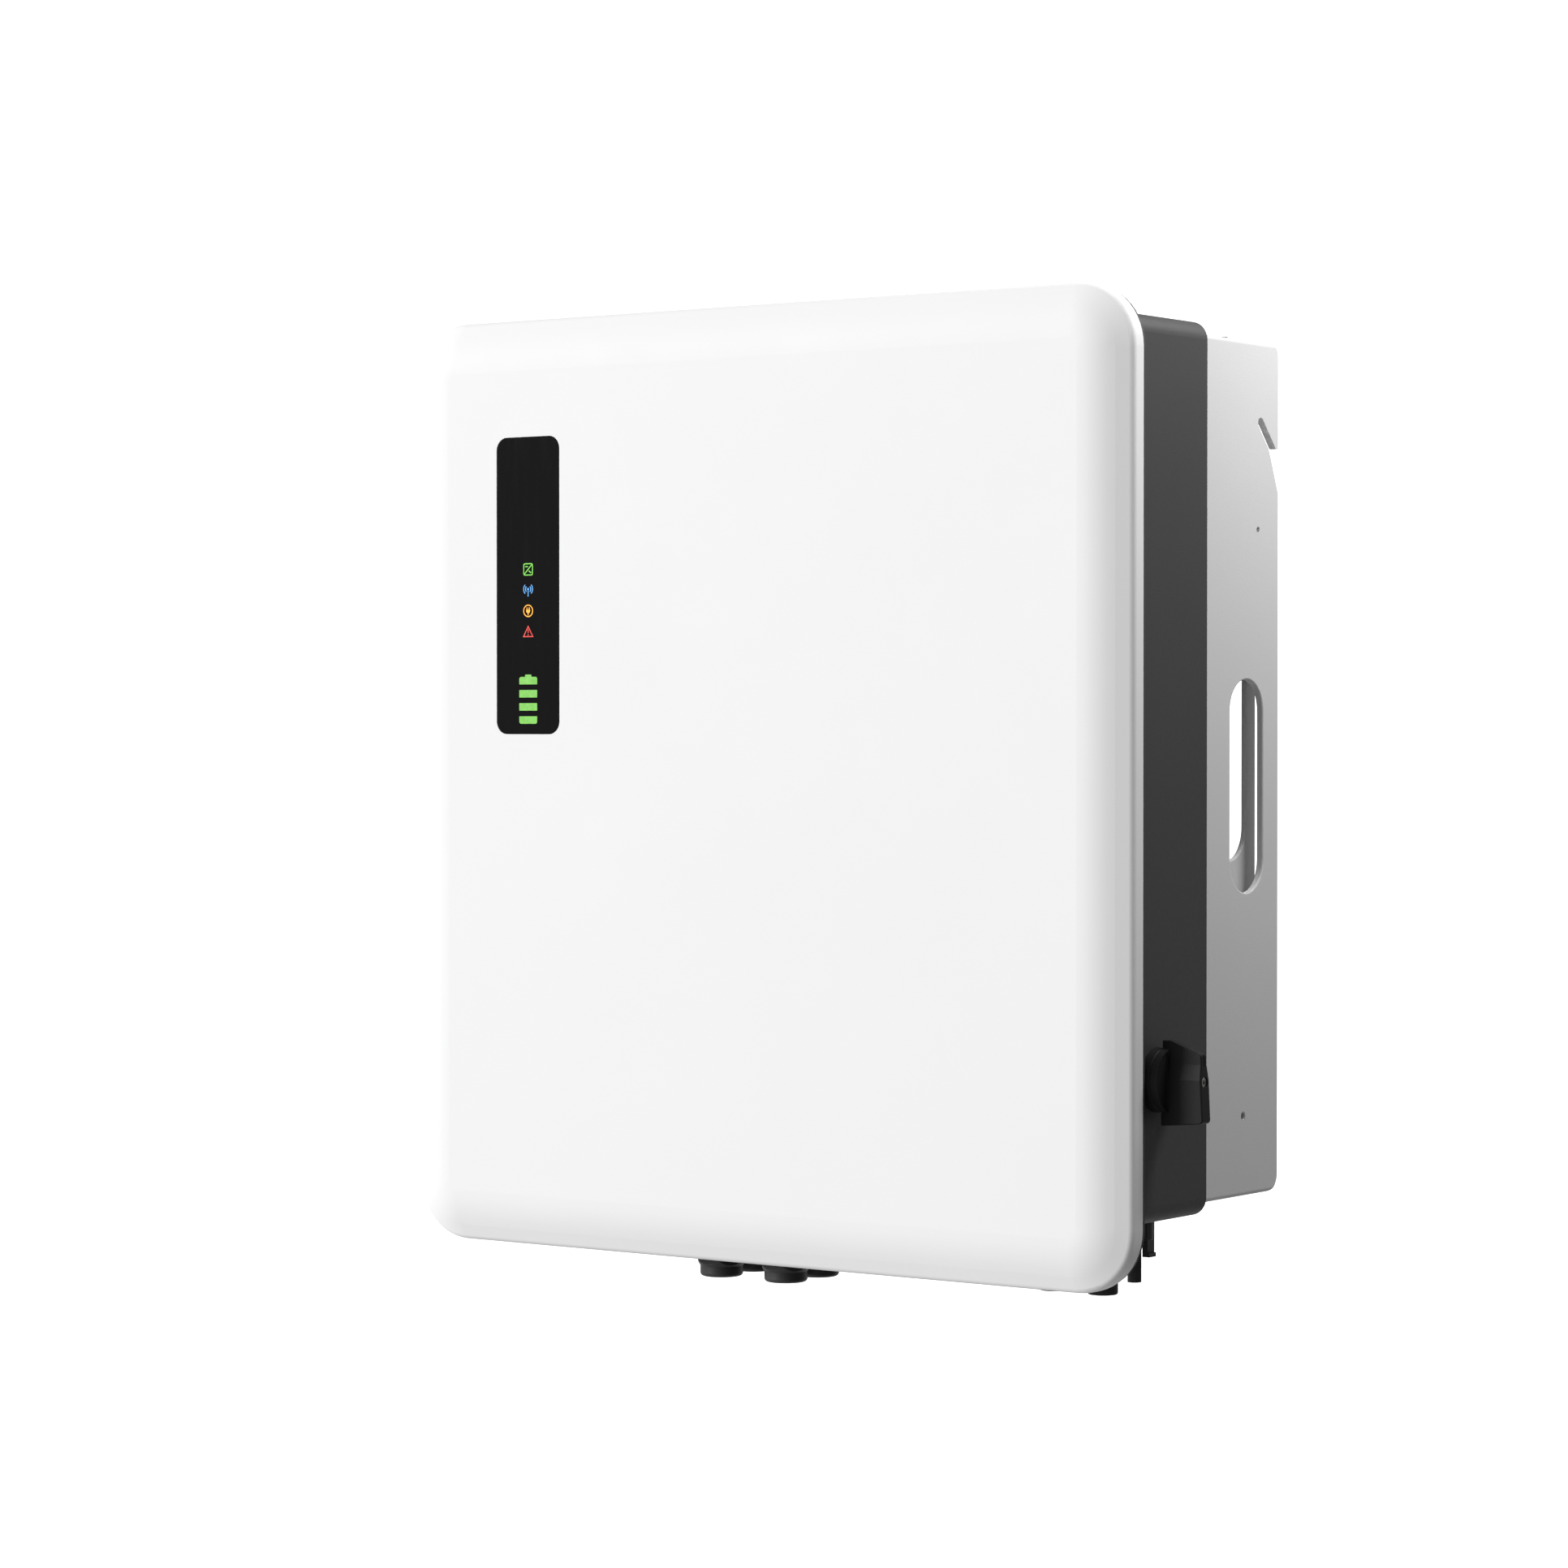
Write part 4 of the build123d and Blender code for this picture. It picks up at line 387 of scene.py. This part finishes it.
def guide_spans():
    """The heights of the lit windows in the guide block, from the top down."""
    heights = sorted({round(v.co.z, 5) for v in nodes["light_guides"].data.vertices}, reverse=True)
    return list(zip(heights[0::2], heights[1::2]))


spans = guide_spans()
icon_spans, bar_spans = spans[:icon_count], spans[icon_count:]


def flat_piece(name, outlines, material):
    """Thin raised shapes on the window's face. Each outline may be followed by its holes."""
    mesh = bpy.data.meshes.new(name)
    vertices, faces = [], []
    for loops in outlines:
        start = len(vertices)
        rings = [[Vector((x, z, 0.0)) for x, z in loop] for loop in loops]
        flat = [p for ring in rings for p in ring]
        triangles = tessellate_polygon(rings)
        count = len(flat)
        vertices += [(p.x, symbol_front, p.y) for p in flat]
        vertices += [(p.x, symbol_back, p.y) for p in flat]
        for a, b, c in triangles:
            faces.append((start + a, start + b, start + c))
            faces.append((start + count + c, start + count + b, start + count + a))
        offset = start
        for ring in rings:
            for i in range(len(ring)):
                j = (i + 1) % len(ring)
                faces.append((offset + i, offset + j, offset + j + count, offset + i + count))
            offset += len(ring)
    mesh.from_pydata(vertices, [], faces)
    work = bmesh.new()
    work.from_mesh(mesh)
    bmesh.ops.recalc_face_normals(work, faces=work.faces)
    work.to_mesh(mesh)
    work.free()
    piece = bpy.data.objects.new(name, mesh)
    scene.collection.objects.link(piece)
    mesh.materials.append(material)
    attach(piece, "front_cover")


def rounded_box(x, z, width, height, radius, steps=5):
    """Outline of a rounded rectangle, anticlockwise."""
    points = []
    for i, (sx, sz) in enumerate(((1, 1), (-1, 1), (-1, -1), (1, -1))):
        for step in range(steps + 1):
            angle = (i + step / steps) * pi / 2
            points.append(
                (
                    x + sx * (width / 2 - radius) + radius * cos(angle),
                    z + sz * (height / 2 - radius) + radius * sin(angle),
                )
            )
    return points


def circle(x, z, radius, count=28):
    """Outline of a circle."""
    angles = [2 * pi * i / count for i in range(count)]
    return [(x + radius * cos(a), z + radius * sin(a)) for a in angles]


def stroke(points, width):
    """Outline of a line of even width through the points, with square ends."""
    left, right = [], []
    for i, (x, z) in enumerate(points):
        before = points[max(i - 1, 0)]
        after = points[min(i + 1, len(points) - 1)]
        dx, dz = after[0] - before[0], after[1] - before[1]
        length = (dx * dx + dz * dz) ** 0.5
        nx, nz = -dz / length * width / 2, dx / length * width / 2
        left.append((x + nx, z + nz))
        right.append((x - nx, z - nz))
    return left + right[::-1]


def arc(x, z, radius, start, end, count=10):
    """Points along an arc, angles in degrees."""
    angles = [radians(start + (end - start) * i / count) for i in range(count + 1)]
    return [(x + radius * cos(a), z + radius * sin(a)) for a in angles]


icon = icon_spans[0][0] - icon_spans[0][1]
line = icon * 0.085
symbol_glow = 0.6


def icon_points(z, *places):
    """Points given from an icon's centre, in shares of its size."""
    return [(symbol_x + icon * across, z + icon * up) for across, up in places]


def icon_line(z, *places):
    """A stroke of the icons' line width through such points."""
    return [stroke(icon_points(z, *places), line)]


# converter: a framed square with a diagonal, a bar above it and a wave below it
z = sum(icon_spans[0]) / 2
wave_points = [
    (symbol_x + icon * (0.08 + 0.022 * i), z - icon * 0.2 + icon * 0.07 * sin(i * pi / 5))
    for i in range(11)
]
flat_piece(
    "symbol_converter",
    [
        [
            rounded_box(symbol_x, z, icon * 0.98, icon * 0.98, icon * 0.16),
            rounded_box(symbol_x, z, icon * 0.98 - 2 * line, icon * 0.98 - 2 * line, icon * 0.1),
        ],
        icon_line(z, (-0.36, -0.36), (0.36, 0.36)),
        icon_line(z, (-0.3, 0.22), (-0.02, 0.22)),
        [stroke(wave_points, line * 0.9)],
    ],
    lamp("lamp_converter", linear(100, 190, 50), symbol_glow),
)

# radio link: a mast with two waves on each side
z = sum(icon_spans[1]) / 2
radio = [
    [circle(symbol_x, z + icon * 0.08, icon * 0.1)],
    icon_line(z, (0.0, 0.02), (0.0, -0.5)),
]
for reach in (0.27, 0.46):
    for start in (-48, 132):
        radio.append([stroke(arc(symbol_x, z + icon * 0.08, icon * reach, start, start + 96), line)])
flat_piece("symbol_radio", radio, lamp("lamp_radio", linear(70, 150, 215), symbol_glow))

# supply: a plug in a ring
z = sum(icon_spans[2]) / 2
flat_piece(
    "symbol_supply",
    [
        [circle(symbol_x, z, icon * 0.5, 40), circle(symbol_x, z, icon * 0.5 - line, 40)],
        [
            icon_points(
                z, (-0.2, 0.1), (-0.2, -0.04), (-0.1, -0.18), (0.1, -0.18), (0.2, -0.04), (0.2, 0.1)
            )
        ],
        icon_line(z, (-0.11, 0.08), (-0.11, 0.27)),
        icon_line(z, (0.11, 0.08), (0.11, 0.27)),
        icon_line(z, (0.0, -0.14), (0.0, -0.36)),
    ],
    lamp("lamp_supply", linear(245, 165, 30), symbol_glow),
)

# fault: a triangle with a bar and a dot
z = sum(icon_spans[3]) / 2
outer = icon_points(z, (-0.55, -0.44), (0.55, -0.44), (0.0, 0.5))
inner = [
    (symbol_x - icon * 0.55 + line * 1.75, z - icon * 0.44 + line),
    (symbol_x + icon * 0.55 - line * 1.75, z - icon * 0.44 + line),
    (symbol_x, z + icon * 0.5 - line * 2.0),
]
flat_piece(
    "symbol_fault",
    [
        [outer, inner],
        icon_line(z, (0.0, 0.2), (0.0, -0.12)),
        [circle(symbol_x, z - icon * 0.25, line * 0.6, 14)],
    ],
    lamp("lamp_fault", linear(205, 45, 40), symbol_glow),
)

# charge gauge: four bars, the top one with the terminal nub
gauge = []
gauge_top = bar_spans[0][0]
bar = gauge_top - bar_spans[0][1]
round_radius = bar * 0.3
square_radius = bar * 0.06
for i, (top, bottom) in enumerate(bar_spans):
    half = (top + bottom) / 2
    top_radius = round_radius if i == 0 else square_radius
    bottom_radius = round_radius if i == len(bar_spans) - 1 else square_radius
    upper = rounded_box(symbol_x, half, gauge_width, bar, top_radius)
    lower = rounded_box(symbol_x, half, gauge_width, bar, bottom_radius)
    gauge.append([[p for p in upper if p[1] > half] + [p for p in lower if p[1] < half]])
nub_height = bar * 0.3
nub_width = gauge_width * 0.35
gauge.append([rounded_box(symbol_x, gauge_top + nub_height / 2, nub_width, nub_height, bar * 0.05)])
flat_piece("charge_gauge", gauge, lamp("lamp_gauge", linear(103, 174, 62), symbol_glow))

# ---------------------------------------------------------------- floor, backdrop and light
low, high = cad_box
middle = (low + high) / 2


def round_backdrop():
    """A pale floor well below the part that curves up into a plain round wall and a ceiling."""
    floor_drop, floor_radius, cove, ceiling, hub = 3.4, 4.0, 1.0, 9.0, 0.01
    profile = [(hub, 0.0), (floor_radius, 0.0)]
    for a in range(15, 91, 15):
        profile.append((floor_radius + cove * sin(radians(a)), cove * (1.0 - cos(radians(a)))))
    profile += [(floor_radius + cove, ceiling), (hub, ceiling)]
    floor_height = low.z - floor_drop
    mesh = bpy.data.meshes.new("backdrop")
    sides = 64
    vertices, faces = [], []
    for radius, rise in profile:
        for i in range(sides):
            angle = 2 * pi * i / sides
            across, along = radius * cos(angle), radius * sin(angle)
            vertices.append((middle.x + across, middle.y + along, floor_height + rise))
    for ring in range(len(profile) - 1):
        for i in range(sides):
            j = (i + 1) % sides
            a, b = ring * sides, (ring + 1) * sides
            faces.append((a + i, a + j, b + j, b + i))
    mesh.from_pydata(vertices, [], faces)
    piece = bpy.data.objects.new("backdrop", mesh)
    scene.collection.objects.link(piece)
    shader = Shader("backdrop_paper")
    shader.colour(shader.mix(shader.noise(3.0), (0.88, 0.88, 0.88), (0.9, 0.9, 0.9)))
    shader.rough(shader.remap(shader.noise(20.0), 0.85, 0.95))
    shader.set(Emission_Color=(1.0, 1.0, 1.0, 1.0), Emission_Strength=0.95)
    mesh.materials.append(shader.material)
    # it is lit from within and throws no light or shade on the part
    piece.visible_diffuse = False
    piece.visible_glossy = False
    piece.visible_transmission = False
    piece.visible_shadow = False


round_backdrop()

world = bpy.data.worlds.new("studio")
scene.world = world
world.use_nodes = True
sky = world.node_tree.nodes["Background"]
sky.inputs["Color"].default_value = (1.0, 1.0, 1.0, 1.0)
# the room is dimmer towards the right
direction = world.node_tree.nodes.new("ShaderNodeTexCoord")
axes = world.node_tree.nodes.new("ShaderNodeSeparateXYZ")
fall = world.node_tree.nodes.new("ShaderNodeMapRange")
fall.interpolation_type = "SMOOTHSTEP"
fall.inputs["From Min"].default_value = -0.2
fall.inputs["From Max"].default_value = 0.85
fall.inputs["To Min"].default_value = 0.6
fall.inputs["To Max"].default_value = 0.115
world.node_tree.links.new(direction.outputs["Generated"], axes.inputs["Vector"])
world.node_tree.links.new(axes.outputs["X"], fall.inputs["Value"])
world.node_tree.links.new(fall.outputs["Result"], sky.inputs["Strength"])


def softbox(name, place, aim, width, height, power):
    """A rectangular studio light aimed at a point."""
    data = bpy.data.lights.new(name, "AREA")
    data.shape = "RECTANGLE"
    data.size = width
    data.size_y = height
    data.energy = power
    light = bpy.data.objects.new(name, data)
    light.location = place
    direction = Vector(aim) - Vector(place)
    light.rotation_euler = direction.to_track_quat("-Z", "Y").to_euler()
    scene.collection.objects.link(light)


softbox("key", (-5.7, -8.7, 2.9), middle, 3.0, 2.6, 885.0)
softbox("left", (-4.3, -1.3, 0.3), middle, 2.4, 2.4, 22.0)
softbox("side", (0.56, 0.13, 0.37), (0.24, -0.02, 0.0), 0.3, 0.24, 4.4)
